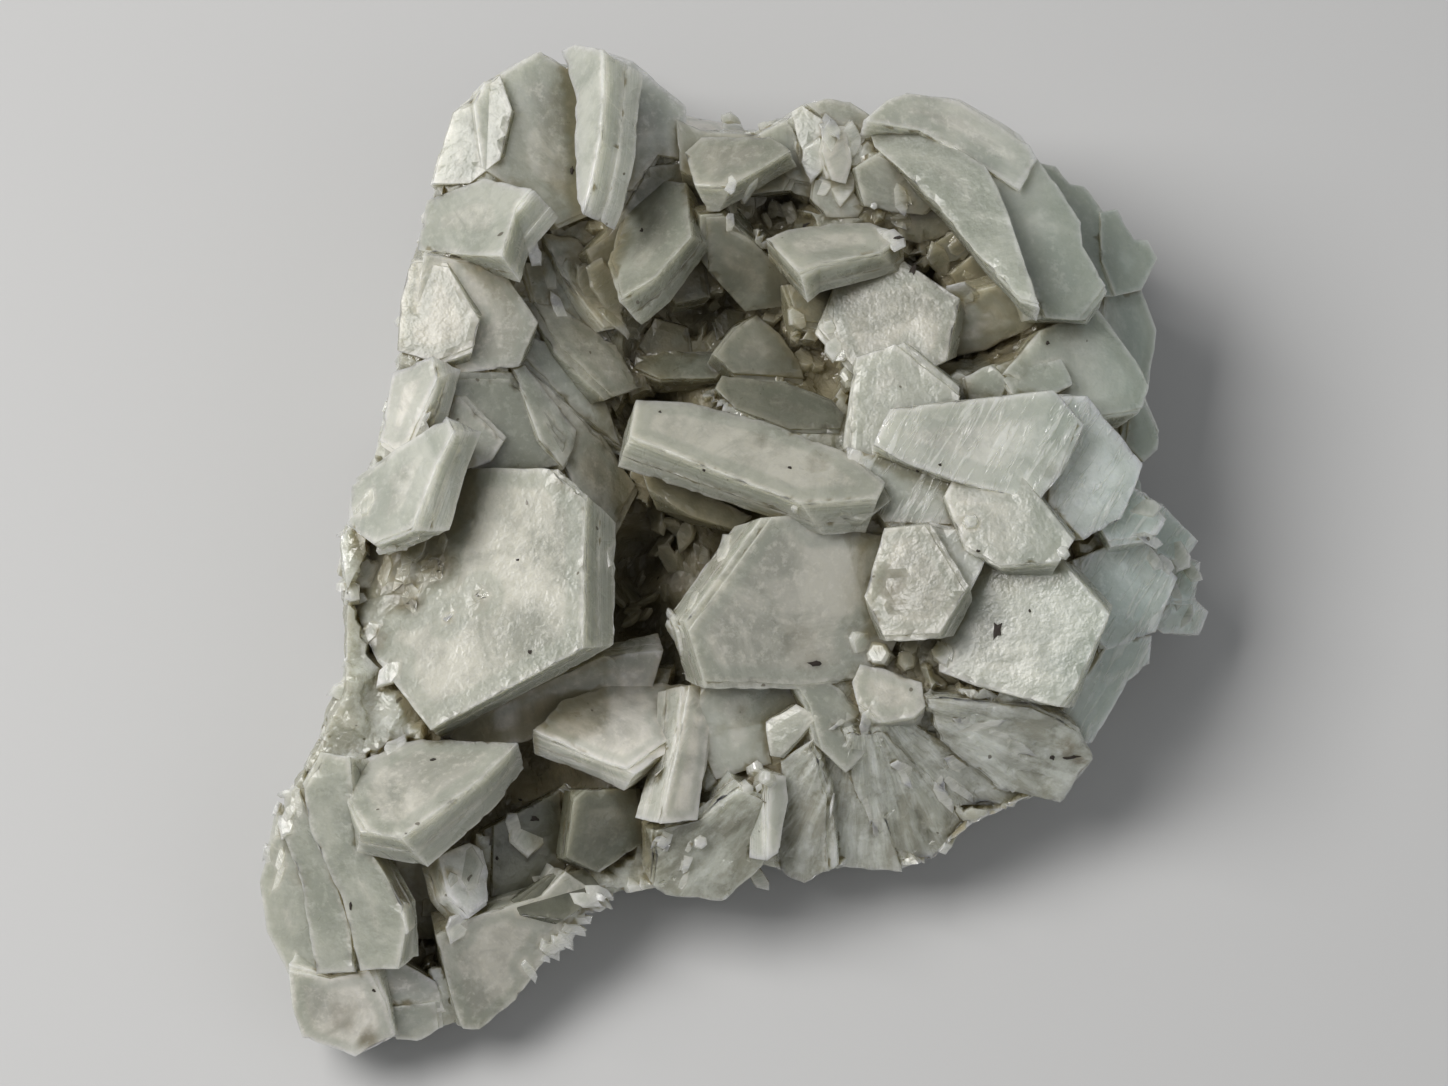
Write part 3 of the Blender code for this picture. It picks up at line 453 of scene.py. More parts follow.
def on_plane(chip, pixel):
    """The point of the plate's front plane that the photo shows at this pixel."""
    anchor = on_picture(middle_of(chip.corners), chip.depth * MM)
    normal = normal_of(chip)
    ray = on_picture(pixel) - EYE
    return EYE + ray * ((anchor - EYE).dot(normal) / ray.dot(normal))


def plate_face(chip):
    """The front face's corners in space, counter-clockwise seen from in front."""
    corners = [on_plane(chip, pixel) for pixel in chip.corners]
    turned = sum((a.cross(b) for a, b in zip(corners, corners[1:] + corners[:1])), Vector())
    return corners if turned.dot(normal_of(chip)) > 0 else corners[::-1]


def inside(pixel, outline):
    """Whether the pixel lies within the closed outline."""
    within = False
    for (x0, y0), (x1, y1) in zip(outline, outline[1:] + outline[:1]):
        if (y0 > pixel[1]) != (y1 > pixel[1]) and pixel[0] < x0 + (x1 - x0) * (pixel[1] - y0) / (y1 - y0):
            within = not within
    return within


def rock_depth(pixel):
    """The rock's depth here: a blend of what is near, kept behind every plate that covers it."""
    known = [(middle_of(chip.corners), chip.depth - 0.5 * chip.thick) for chip in CHIPS]
    known.extend(ROCK_DEPTHS)
    total, weights = 0.0, 0.0
    for place, depth in known:
        weight = 1.0 / (math.dist(pixel, place) ** 2 + 200.0) ** 1.5
        total += depth * MM * weight
        weights += weight
    depth = total / weights
    for chip in CHIPS:
        if inside(pixel, chip.corners):
            covering = (on_plane(chip, pixel) - CENTRE).dot(TOWARDS)
            depth = min(depth, covering - 0.6 * chip.thick * MM)
    ripple = noise.noise(Vector((pixel[0] / 30.0, pixel[1] / 30.0, 0.0)))
    return depth - BURIAL + ripple * RIPPLE


def distance_from(pixel, outline):
    """How far the pixel is from the outline, nought inside it."""
    if inside(pixel, outline):
        return 0.0
    distances = []
    for (x0, y0), (x1, y1) in zip(outline, outline[1:] + outline[:1]):
        wide, high = x1 - x0, y1 - y0
        share = ((pixel[0] - x0) * wide + (pixel[1] - y0) * high) / (wide * wide + high * high)
        share = min(1.0, max(0.0, share))
        distances.append(math.hypot(pixel[0] - x0 - wide * share, pixel[1] - y0 - high * share))
    return min(distances)


def filled_depth(pixel):
    """The rock's depth, raised to fill the joint where two plates at about one level stand close together."""
    near = sorted(
        (on_plane(chip, pixel) - CENTRE).dot(TOWARDS)
        for chip, (left, top, right, bottom) in zip(CHIPS, CHIP_BOXES)
        if left < pixel[0] < right and top < pixel[1] < bottom
        and distance_from(pixel, chip.corners) < JOINT_WIDTH
    )
    depth = rock_depth(pixel)
    if len(near) > 1 and near[1] - near[0] < JOINT_STEP:
        return max(depth, near[0] - JOINT_DEPTH)
    return depth


def seen_at(surface, pixel):
    """What the photo shows at this pixel of the surface: the point and its normal, or nothing."""
    return surface.ray_cast(EYE, (on_picture(pixel) - EYE).normalized())[:2]


def rim_points(count):
    """Points at equal steps along the rock's rim."""
    ends = list(zip(ROCK_RIM, ROCK_RIM[1:] + ROCK_RIM[:1]))
    step = sum(math.dist(a, b) for a, b in ends) / count
    points = []
    behind = 0.0
    for a, b in ends:
        length = math.dist(a, b)
        while len(points) * step < behind + length and len(points) < count:
            share = (len(points) * step - behind) / length
            points.append((a[0] + (b[0] - a[0]) * share, a[1] + (b[1] - a[1]) * share))
        behind += length
    return points


def towards_hub(pixel, scale):
    return (HUB[0] + (pixel[0] - HUB[0]) * scale, HUB[1] + (pixel[1] - HUB[1]) * scale)


def on_table(pixel):
    """The point of the table on this pixel's line of sight."""
    ray = on_picture(pixel) - EYE
    return EYE + ray * (-EYE.z / ray.z)


def wall_place(rim, chance, lowest):
    """A random point of the hidden walls, down to this share of their height, and the way out from it."""
    pixel = chance.choice(rim)
    edge = on_picture(pixel, rock_depth(pixel))
    foot = on_table(towards_hub(pixel, WALL_SCALES[-1]))
    place = edge.lerp(foot, chance.uniform(0.05, lowest))
    return place, Vector((place.x, place.y, 0.0)).normalized()


def side_normals(corners, normal):
    ends = corners[1:] + corners[:1]
    return [(after - before).cross(normal).normalized() for before, after in zip(corners, ends)]


def move_sides(corners, normal, shifts):
    """The outline with each side moved outward by its own shift."""
    outward = side_normals(corners, normal)
    moved = []
    for i, corner in enumerate(corners):
        before, after = outward[i - 1], outward[i]
        turn = before.dot(after)
        if 1.0 - turn * turn < IN_LINE:
            moved.append(corner + (before + after) * 0.25 * (shifts[i - 1] + shifts[i]))
            continue
        along_before = (shifts[i - 1] - shifts[i] * turn) / (1.0 - turn * turn)
        along_after = (shifts[i] - shifts[i - 1] * turn) / (1.0 - turn * turn)
        moved.append(corner + before * along_before + after * along_after)
    return moved


def side_lengths(corners):
    return [(after - before).length for before, after in zip(corners, corners[1:] + corners[:1])]


def slope_sides(corners, normal, back):
    """The outline at the plate's back: its sides lean out and in by turns, as steep rhombohedron faces do."""
    lengths = side_lengths(corners)
    shifts = [min(back * SIDE_SLOPE, 0.2 * length) * (-1) ** i for i, length in enumerate(lengths)]
    outward = side_normals(corners, normal)
    keep = {i for i in range(len(corners)) if 1.0 - outward[i - 1].dot(outward[i]) ** 2 < IN_LINE}
    moved = move_sides(corners, normal, shifts)
    return [(corners[i] if i in keep else point) - normal * back for i, point in enumerate(moved)]


def shrink(corners, scale):
    middle = sum(corners, Vector()) / len(corners)
    return [middle + (corner - middle) * scale for corner in corners]


def stack(rings):
    """A closed solid through rings of equally many points, the first at the front."""
    mesh = bmesh.new()
    loops = [[mesh.verts.new(point) for point in ring] for ring in rings]
    for upper, lower in zip(loops, loops[1:]):
        for i in range(len(upper)):
            mesh.faces.new((upper[i - 1], lower[i - 1], lower[i], upper[i]))
    mesh.faces.new(loops[0])
    mesh.faces.new(loops[-1][::-1])
    return mesh


def root_of(corners):
    """The way back into the rock, cut short above the table."""
    lowest = min(corner.z for corner in corners)
    reach = min(ROOT_LENGTH, max(0.5 * MM, (lowest - 5.0 * MM) / TOWARDS.z))
    return TOWARDS * -reach


def slab(top, low, normal, tail=()):
    """One layer of a plate, its front edge slightly bevelled, with the rings that go on behind it."""
    bevel = [-min(EDGE_BEVEL, 0.1 * length) for length in side_lengths(top)]
    return stack([move_sides(top, normal, bevel), [point - normal * EDGE_BEVEL for point in top], low, *tail])


def layered_plate(corners, normal, thick, root, chance):
    """The layers of one plate: a thin cap drawn in on a side or two, the body, and the root."""
    back = slope_sides(corners, normal, thick)
    limits = [0.12 * length for length in side_lengths(corners)]
    cap = chance.uniform(*CAP) / thick
    count = max(1, round(thick / LAYER))
    inner = [cap + (1.0 - cap) * (i + chance.uniform(-0.3, 0.3)) / count for i in range(1, count)]
    cuts = [0.0, cap, *inner, 1.0]
    slabs = []
    for layer, (front_share, back_share) in enumerate(zip(cuts, cuts[1:])):
        shifts = [max(-limit, min(limit, chance.uniform(-1.0, 0.6) * LAYER_SHIFT)) for limit in limits]
        if layer == 0:
            shifts = [0.0] * len(shifts)
            for _ in range(chance.choice((1, 2, 2))):
                side = chance.randrange(len(shifts))
                shifts[side] = -min(chance.uniform(*TERRACE), limits[side])
        top = [a.lerp(b, front_share) for a, b in zip(corners, back)]
        low = [a.lerp(b, min(1.0, back_share + 0.02)) for a, b in zip(corners, back)]
        top = move_sides(top, normal, shifts)
        low = move_sides(low, normal, shifts)
        last = layer == len(cuts) - 2
        tail = [[point + root for point in shrink(low, ROOT_SCALE)]] if last else ()
        slabs.append(slab(top, low, normal, tail))
    return slabs


def splinter(place, shape, turn, skew):
    """A thin broken piece with skewed sides, a rhomb or a long six-sided chip."""
    outline = [(-0.5, -0.3), (-0.2, -0.5), (0.5, -0.35), (0.42, 0.3), (0.1, 0.5), (-0.45, 0.35)]
    rings = []
    for level, scale in ((0.5, 0.86), (0.1, 1.0), (-0.5, 0.8)):
        rings.append([
            place + turn @ Vector(((x + skew * y) * scale * shape[0], y * scale * shape[1], level * shape[2]))
            for x, y in outline
        ])
    return stack(rings)


# Where broken pieces cover the rock: outline in the photo, how many, lengths in mm, width and height as
# shares of the length, and the photo pixel that they radiate from
SHARD_FIELDS = (
    (((330, 490), (352, 480), (385, 520), (430, 556), (400, 575), (345, 575), (324, 565)),
     30, (1.6, 4.6), 0.6, 0.28, (470, 400)),
    (((384, 548), (440, 545), (488, 590), (452, 622), (392, 606)),
     12, (1.6, 3.8), 0.6, 0.14, (300, 740)),
    (((340, 676), (372, 672), (420, 745), (350, 752), (300, 745), (322, 715)),
     40, (1.2, 3.0), 0.8, 0.4, (420, 600)),
    (((262, 820), (290, 780), (306, 750), (330, 750), (300, 800), (285, 880), (262, 890)),
     18, (1.4, 3.6), 0.5, 0.3, (330, 700)),
    (((652, 826), (684, 830), (700, 870), (690, 888), (664, 886)),
     9, (1.6, 3.6), 0.45, 0.16, (712, 740)),
    (((800, 720), (900, 722), (1000, 712), (1050, 740), (1010, 780), (950, 816), (915, 840), (855, 840),
      (805, 846), (790, 800)),
     16, (3.0, 7.0), 0.25, 0.08, FAN_FOCUS),
    (((860, 642), (950, 640), (955, 676), (870, 680)),
     12, (2.0, 3.6), 0.9, 0.6, (900, 560)),
    (((690, 115), (760, 112), (800, 105), (830, 100), (870, 115), (860, 180), (820, 215), (800, 190),
      (760, 140)),
     10, (2.4, 5.0), 0.7, 0.22, (780, 20)),
    (((870, 180), (930, 205), (985, 265), (1010, 300), (960, 300), (900, 250), (860, 215)),
     16, (2.4, 5.4), 0.6, 0.18, (780, 100)),
    (((640, 520), (700, 500), (740, 520), (700, 600), (670, 660), (615, 640), (605, 540)),
     30, (2.0, 5.0), 0.6, 0.25, (650, 300)),
    (((385, 862), (470, 850), (560, 800), (570, 870), (460, 935), (410, 940)),
     8, (2.4, 5.0), 0.8, 0.16, (500, 700)),
    (((500, 1000), (560, 945), (604, 898), (596, 886), (540, 960), (470, 1031)),
     26, (1.4, 4.0), 0.5, 0.3, (420, 900)),
    (((1136, 480), (1170, 500), (1206, 560), (1206, 620), (1170, 640), (1150, 560)),
     12, (2.2, 5.0), 0.6, 0.16, (1030, 440)),
    (((330, 575), (352, 575), (372, 640), (412, 704), (395, 714), (350, 690), (335, 640)),
     18, (1.6, 3.8), 0.7, 0.35, (470, 560)),
    (((770, 318), (840, 318), (850, 370), (800, 362)),
     10, (1.6, 3.0), 0.9, 0.5, (810, 200)),
    (((540, 190), (600, 250), (640, 330), (610, 400), (540, 340), (520, 250)),
     9, (5.0, 9.0), 0.35, 0.1, (440, 60)),
    (((700, 216), (720, 180), (800, 190), (800, 215), (760, 240)),
     12, (2.0, 4.0), 0.6, 0.3, (760, 60)),
)
WALL_SHARDS = 230
SHARD_SEED = 5


def shards(surface):
    """Broken pieces half sunk in the rock, in the photo's fields and over the hidden walls."""
    chance = random.Random(SHARD_SEED)
    solids = []
    for outline, count, lengths, wide, high, focus in SHARD_FIELDS:
        xs, ys = zip(*outline)
        placed = 0
        while placed < count:
            pixel = (chance.uniform(min(xs), max(xs)), chance.uniform(min(ys), max(ys)))
            if not inside(pixel, outline):
                continue
            placed += 1
            hit, normal = seen_at(surface, pixel)
            grain = RIGHT * (pixel[0] - focus[0]) + UP * (focus[1] - pixel[1])
            if hit is not None:
                solids.append(shard(hit, normal, grain.normalized(), lengths, wide, high, chance))
    rim = rim_points(SPOKES)
    for _ in range(WALL_SHARDS):
        place, outward = wall_place(rim, chance, 0.9)
        hit, normal, _, _ = surface.ray_cast(place + outward * 25.0 * MM, -outward)
        if hit is None or hit.z < 4.0 * MM:
            continue
        solids.append(shard(hit, normal, Vector((0.2, 0.1, -1.0)), (2.0, 6.0), 0.6, 0.3, chance))
    return solids


def shard(place, normal, grain, lengths, wide, high, chance):
    """One broken piece, sunk in the surface here and lying along the grain."""
    length = chance.uniform(*lengths) * MM
    shape = (length, length * wide * chance.uniform(0.6, 1.3), length * high * chance.uniform(0.6, 1.4))
    stray = Vector((chance.gauss(0.0, 0.25), chance.gauss(0.0, 0.25), chance.gauss(0.0, 0.25)))
    along = grain + stray
    along = (along - normal * along.dot(normal)).normalized()
    facing = (normal + along * chance.uniform(-0.35, 0.2) + stray * 0.5).normalized()
    across = facing.cross(along).normalized()
    turn = Matrix((across.cross(facing), across, facing)).transposed()
    return splinter(place - facing * shape[2] * 0.3, shape, turn, chance.uniform(-0.5, 0.5))


def rock():
    """The rock under the plates: a rough face, walls that draw in to the table, and a flat underside."""
    rim = rim_points(SPOKES)
    mesh = bmesh.new()
    rings = []
    for step in range(1, FACE_RINGS + 1):
        pixels = [towards_hub(pixel, step / FACE_RINGS) for pixel in rim]
        rings.append([mesh.verts.new(on_picture(pixel, filled_depth(pixel))) for pixel in pixels])
    hub = mesh.verts.new(sum((vert.co for vert in rings[0]), Vector()) / SPOKES)
    edge = [vert.co.copy() for vert in rings[-1]]
    for step, scale in enumerate(WALL_SCALES, start=1):
        share = step / len(WALL_SCALES)
        ring = []
        for pixel, top in zip(rim, edge):
            foot = on_table(towards_hub(pixel, scale))
            point = top.lerp(foot, share)
            if step < len(WALL_SCALES):
                point += noise.noise_vector(point / (9.0 * MM)) * 1.6 * MM
            ring.append(mesh.verts.new(point))
        rings.append(ring)
    for i in range(SPOKES):
        mesh.faces.new((hub, rings[0][i - 1], rings[0][i]))
    for upper, lower in zip(rings, rings[1:]):
        for i in range(SPOKES):
            mesh.faces.new((upper[i - 1], lower[i - 1], lower[i], upper[i]))
    mesh.faces.new(rings[-1][::-1])
    bmesh.ops.triangulate(mesh, faces=mesh.faces)
    bmesh.ops.recalc_face_normals(mesh, faces=mesh.faces)
    return mesh


def side_plates():
    """The six-sided plates on the hidden walls: (corners, normal, thickness, root)."""
    chance = random.Random(SIDE_SEED)
    rim = rim_points(SIDE_SPOKES)
    plates = []
    while len(plates) < SIDE_PLATES:
        place, outward = wall_place(rim, chance, 0.85)
        tilt = Vector((chance.uniform(-0.7, 0.7), chance.uniform(-0.7, 0.7), chance.uniform(0.1, 1.3)))
        normal = (outward + tilt).normalized()
        radius = chance.uniform(*SIDE_RADIUS)
        thick = chance.uniform(*SIDE_THICKNESS)
        spin = chance.uniform(0.0, math.tau)
        turn = normal.to_track_quat("Z", "Y").to_matrix()
        corners = []
        for side in range(6):
            reach = radius * chance.uniform(0.85, 1.15)
            angle = spin + side * math.tau / 6.0
            corners.append(place + turn @ Vector((math.cos(angle), math.sin(angle), 0.0)) * reach)
        corners = [corner + normal * 0.5 * thick for corner in corners]
        shown = [towards_hub(photo_pixel(corner), 1.0 / SIDE_MARGIN) for corner in corners]
        low = min(corner.z for corner in corners)
        if low > 3.0 * MM and all(inside(spot, ROCK_RIM) for spot in shown):
            plates.append((corners, normal, thick, outward * -4.0 * MM))
    return plates


def link_object(name, data):
    """A new object with this data, put in the scene."""
    made = bpy.data.objects.new(name, data)
    bpy.context.scene.collection.objects.link(made)
    return made


def add_object(name, mesh, plate=None):
    """A new object of this mesh, which is used up, each face marked with the plate's number."""
    data = bpy.data.meshes.new(name)
    mesh.to_mesh(data)
    mesh.free()
    if plate is not None:
        mark = data.attributes.new("plate", "INT", "FACE")
        mark.data.foreach_set("value", [plate] * len(data.polygons))
    return link_object(name, data)


def joined(base, group):
    """The mesh of the base joined with all of the group, each face marked with its plate's number."""
    union = base.modifiers.new("join", "BOOLEAN")
    union.operation = "UNION"
    union.operand_type = "COLLECTION"
    union.collection = group
    union.solver = "MANIFOLD"
    bpy.context.view_layer.update()
    graph = bpy.context.evaluated_depsgraph_get()
    return bpy.data.meshes.new_from_object(base.evaluated_get(graph))


def cut_finer(mesh, longest, kinds=None):
    """Splits every longer edge of these kinds of face, except on the sawn underside, until none is left."""
    layer = mesh.faces.layers.int["plate"]
    for _ in range(CUT_ROUNDS):
        long_edges = [
            edge for edge in mesh.edges
            if edge.calc_length() > longest and max(vert.co.z for vert in edge.verts) > 0.02 * MM
            and (kinds is None or any(face[layer] in kinds for face in edge.link_faces))
        ]
        if not long_edges:
            break
        bmesh.ops.subdivide_edges(mesh, edges=long_edges, cuts=1)
        crowded = [face for face in mesh.faces if len(face.verts) > 3]
        bmesh.ops.triangulate(mesh, faces=crowded, quad_method="SHORT_EDGE", ngon_method="BEAUTY")


def sharp_edge_points(mesh):
    """Points along the mesh's sharp outward edges."""
    points = []
    for edge in mesh.edges:
        if not edge.is_manifold or edge.calc_face_angle_signed() < SHARP_EDGE:
            continue
        a, b = (vert.co for vert in edge.verts)
        steps = max(1, int((b - a).length / EDGE_STEP))
        points.extend(a.lerp(b, (i + 0.5) / steps) for i in range(steps))
    return points


def distances_to(points, mesh, reach):
    """Each vertex's distance to the nearest of the points, up to the reach."""
    tree = KDTree(len(points))
    for number, point in enumerate(points):
        tree.insert(point, number)
    tree.balance()
    return [min(reach, tree.find(vert.co)[2]) for vert in mesh.verts]


def shelters(mesh, reach, count):
    """How closed in each vertex is: the share of the view upward and round it that the cluster blocks."""
    chance = random.Random(SHELTER_SEED)
    directions = []
    while len(directions) < count:
        ray = Vector((chance.uniform(-1, 1), chance.uniform(-1, 1), chance.uniform(-0.1, 1)))
        if 0.1 < ray.length < 1.0:
            directions.append(ray.normalized())
    tree = BVHTree.FromBMesh(mesh)
    values = []
    for vert in mesh.verts:
        start = vert.co + vert.normal * 0.25 * MM
        hits, weights = 0.0, 0.0
        for ray in directions:
            facing = ray.dot(vert.normal) + 0.35
            if facing < 0.0:
                continue
            weights += facing
            if tree.ray_cast(start, ray, reach)[0] is not None:
                hits += facing
        values.append(hits / max(weights, 0.01))
    return values


def facets(point, size):
    """The height of a surface broken into tilted facets of this size, about -1 to 1."""
    scaled = Vector((point.x / size[0], point.y / size[1], point.z / size[2]))
    nearest = noise.voronoi(scaled)[1][0]
    tilt = noise.noise_vector(nearest * 3.7)
    return (scaled - nearest).dot(tilt) * 1.8 + noise.noise(nearest * 5.1) * 0.7


def fan_place(point):
    """The point in coordinates that follow the broken fan: round it, out from its focus, and through it."""
    pixel = photo_pixel(point)
    across, down = pixel[0] - FAN_FOCUS[0], pixel[1] - FAN_FOCUS[1]
    out = math.hypot(across, down)
    return Vector((math.atan2(across, down) * FAN_RADIUS * PIXEL, out * PIXEL, (point - CENTRE).dot(TOWARDS)))


def spot_at(point):
    """How far the spots press in here, in mm, and how brown they make it."""
    pixel = photo_pixel(point)
    press, brown = 0.0, 0.0
    for place, radius, depth, stain in SPOTS:
        near = 1.0 - math.dist(pixel, place) / (radius * (1.0 + 0.5 * noise.noise(point / (1.6 * MM))))
        if near > 0.0:
            near = min(1.0, near * 1.6)
            press = max(press, depth * near)
            brown = max(brown, stain * near)
    return press, brown


def roughen(mesh, kinds, rims, broken):
    """Moves each vertex: rock and broken pieces most, plate edges less, plate faces hardly at all."""
    moves, browns = [], []
    for vert, kind, rim in zip(mesh.verts, kinds, rims):
        point = vert.co
        press, brown = spot_at(point) if vert.normal.dot(TOWARDS) > 0.3 else (0.0, 0.0)
        browns.append(brown)
        if point.z < 0.5 * MM:
            moves.append(Vector())
            continue
        if kind in broken:
            place = fan_place(point)
            ridges = noise.noise(Vector((place.x / 1.2, place.y / 8.0, place.z / 5.0)) / MM) * 0.6
            ridges += facets(place, (1.1 * MM, 3.6 * MM, 2.5 * MM)) * 0.26
            moves.append(vert.normal * ridges * MM)
            continue
        if kind == ROCK:
            coarse = facets(point, (3.4 * MM, 3.4 * MM, 2.6 * MM)) * 0.45
            coarse += facets(point, (1.6 * MM,) * 3) * 0.16
            moves.append(vert.normal * coarse * MM)
            continue
        fine = noise.noise(point / (3.3 * MM)) * 0.09 + noise.noise(point / (1.2 * MM)) * 0.03
        worn = max(0.0, 1.0 - rim / (0.9 * MM))
        nick = max(0.0, noise.noise(point / (1.3 * MM)) - 0.02) * 0.5 * worn
        moves.append(vert.normal * (fine - nick - press) * MM)
    for vert, move in zip(mesh.verts, moves):
        vert.co += move
    return browns


def plates_and_slabs():
    """Every plate's plane, by number, and the slabs that make it up."""
    chance = random.Random(LAYER_SEED)
    planes = []
    slabs = []
    plates = [(plate_face(chip), normal_of(chip), chip.thick * MM) for chip in CHIPS]
    plates = [(corners, normal, thick, root_of(corners)) for corners, normal, thick in plates]
    for corners, normal, thick, root in plates + side_plates():
        layers = layered_plate(corners, normal, thick, root, chance)
        slabs.extend((solid, len(planes)) for solid in layers)
        planes.append((corners[0].copy(), normal))
    return planes, slabs


def shells_of(mesh):
    """The mesh's separate shells, as lists of faces."""
    left = set(mesh.faces)
    shells = []
    while left:
        start = left.pop()
        shell, edge = [start], [start]
        while edge:
            face = edge.pop()
            for link in face.edges:
                for near in link.link_faces:
                    if near in left:
                        left.remove(near)
                        shell.append(near)
                        edge.append(near)
        shells.append(shell)
    return shells


def joined_solids(slabs, bits):
    """Rock, plates and shards joined in one mesh, each face marked with its plate's number."""
    group = bpy.data.collections.new("solids to join")
    for solid, number in slabs + [(bit, SHARD) for bit in bits]:
        helper = add_object("solid", solid, number)
        bpy.context.scene.collection.objects.unlink(helper)
        group.objects.link(helper)
    base = add_object("rock", rock(), ROCK)
    data = joined(base, group)
    for helper in list(group.objects) + [base]:
        bpy.data.objects.remove(helper, do_unlink=True)
    bpy.data.collections.remove(group)
    mesh = bmesh.new()
    mesh.from_mesh(data)
    bpy.data.meshes.remove(data)
    for shell in sorted(shells_of(mesh), key=len)[:-1]:
        bmesh.ops.delete(mesh, geom=shell, context="FACES")
    bmesh.ops.triangulate(mesh, faces=mesh.faces, quad_method="BEAUTY", ngon_method="BEAUTY")
    return mesh


def named(*starts):
    """The numbers of the plates whose names start with any of these."""
    return [number for number, chip in enumerate(CHIPS) if chip.name.startswith(starts)]


def add_attribute(data, name, values, domain):
    layer = data.attributes.new(name, "FLOAT", domain)
    layer.data.foreach_set("value", np.asarray(values, np.float32))


def paint_attributes(data, planes, marks, points_own):
    """What the material reads: depth in the plate, its seed and tone (partly painted light and shade), face
    or side, edges, shelter for the painted shade, stain.
    """
    count = len(data.polygons)
    normals = np.empty(count * 3, np.float32)
    data.polygons.foreach_get("normal", normals)
    normals = normals.reshape(-1, 3)
    corners = np.empty(len(data.loops), np.int32)
    data.loops.foreach_get("vertex_index", corners)
    points = np.empty(len(data.vertices) * 3, np.float32)
    data.vertices.foreach_get("co", points)
    points = points.reshape(-1, 3)
    marks = np.asarray(marks)
    owner = np.repeat(marks, 3)
    anchors = np.array([plane[0] for plane in planes] + [(0.0, 0.0, 0.0)] * 2)
    ups = np.array([plane[1] for plane in planes] + [(0.0, 0.0, 1.0)] * 2)
    depth = ((anchors[owner] - points[corners]) * ups[owner]).sum(axis=1)
    face_on = np.abs((normals * ups[marks]).sum(axis=1))
    face_on[marks < 0] = 0.5
    seeds = np.random.RandomState(SEED_OF_SEEDS).rand(len(planes) + 2)
    tones_and_painted_light = np.ones(len(planes) + 2)
    tones_and_painted_light[SHARD] = SHARD_TONE
    tones_and_painted_light[ROCK] = ROCK_TONE
    # Each plate's tone: partly its own, partly painted light and shade
    for number, chip in enumerate(CHIPS):
        start = max((start for start in PLATE_TONES_AND_PAINTED_LIGHT if chip.name.startswith(start)), key=len, default=None)
        tones_and_painted_light[number] = PLATE_TONES_AND_PAINTED_LIGHT.get(start, 1.0)
    for name, values in (
        ("tone", tones_and_painted_light[owner]),
        ("depth", depth / MM),
        ("seed", seeds[owner]),
        ("face_on", np.repeat(face_on, 3)),
        ("rocky", owner == ROCK),
        ("sharded", owner == SHARD),
        ("broken", np.isin(owner, named("broken", "glassy"))),
        ("ribbed", np.isin(owner, named("ribbed", "green"))),
        ("clear", np.isin(owner, named("green", "far", "blue", "east", "centre", "fan", "tail"))),
    ):
        add_attribute(data, name, values, "CORNER")
    for name, values in points_own.items():
        add_attribute(data, name, values, "POINT")


def build_cluster():
    """The whole cluster as one mesh: rock, plates and broken pieces joined, roughened and painted."""
    planes, slabs = plates_and_slabs()
    solid = frame["nodes"]["calcite_cluster"]
    surface = BVHTree.FromObject(solid, bpy.context.evaluated_depsgraph_get())
    mesh = joined_solids(slabs, shards(surface) + small_crystals(surface))
    edges = sharp_edge_points(mesh)
    layer = mesh.faces.layers.int["plate"]
    broken = set(named("broken", "glassy"))
    cut_finer(mesh, FINE_EDGE)
    cut_finer(mesh, BROKEN_EDGE, broken | {ROCK})
    mesh.normal_update()
    kinds = [max((face[layer] for face in vert.link_faces), default=ROCK) for vert in mesh.verts]
    rims = distances_to(edges, mesh, EDGE_REACH)
    browns = roughen(mesh, kinds, rims, broken)
    mesh.normal_update()
    sheltered = shelters(mesh, SHELTER_REACH, SHELTER_RAYS)
    marks = [face[layer] for face in mesh.faces]
    fans = np.array([fan_place(vert.co) for vert in mesh.verts]) / MM
    data = bpy.data.meshes.new("calcite_crystals")
    mesh.to_mesh(data)
    mesh.free()
    paint_attributes(data, planes, marks, {
        "rim": np.asarray(rims) / MM, "shelter": sheltered, "brown": browns, "round_fan": fans[:, 0],
        "out_of_fan": fans[:, 1]})
    return link_object("calcite_crystals", data)


# Flecks of dirt on the crystals: (photo pixel, width and height in pixels), and how many corners each has
FLECKS = (
    ((997, 630), 11, 17), ((815, 664), 16, 8), ((913, 270), 7, 12), ((899, 238), 10, 5), ((806, 225), 8, 4),
    ((572, 170), 4, 8), ((642, 230), 4, 6), ((351, 905), 4, 9), ((535, 819), 10, 6), ((497, 858), 4, 5),
    ((374, 990), 4, 4), ((1053, 757), 7, 6), ((1072, 757), 16, 4), ((978, 551), 4, 4), ((1030, 611), 3, 4),
    ((918, 471), 4, 3), ((940, 465), 4, 3), ((1048, 343), 4, 4), ((530, 652), 4, 4), ((518, 560), 3, 3),
    ((433, 760), 6, 3), ((520, 800), 4, 3), ((660, 412), 3, 3), ((704, 470), 3, 3), ((790, 468), 4, 3),
)
FLECK_CORNERS = 9
FLECK_LIFT = 0.1 * MM
FLECK_SEED = 8


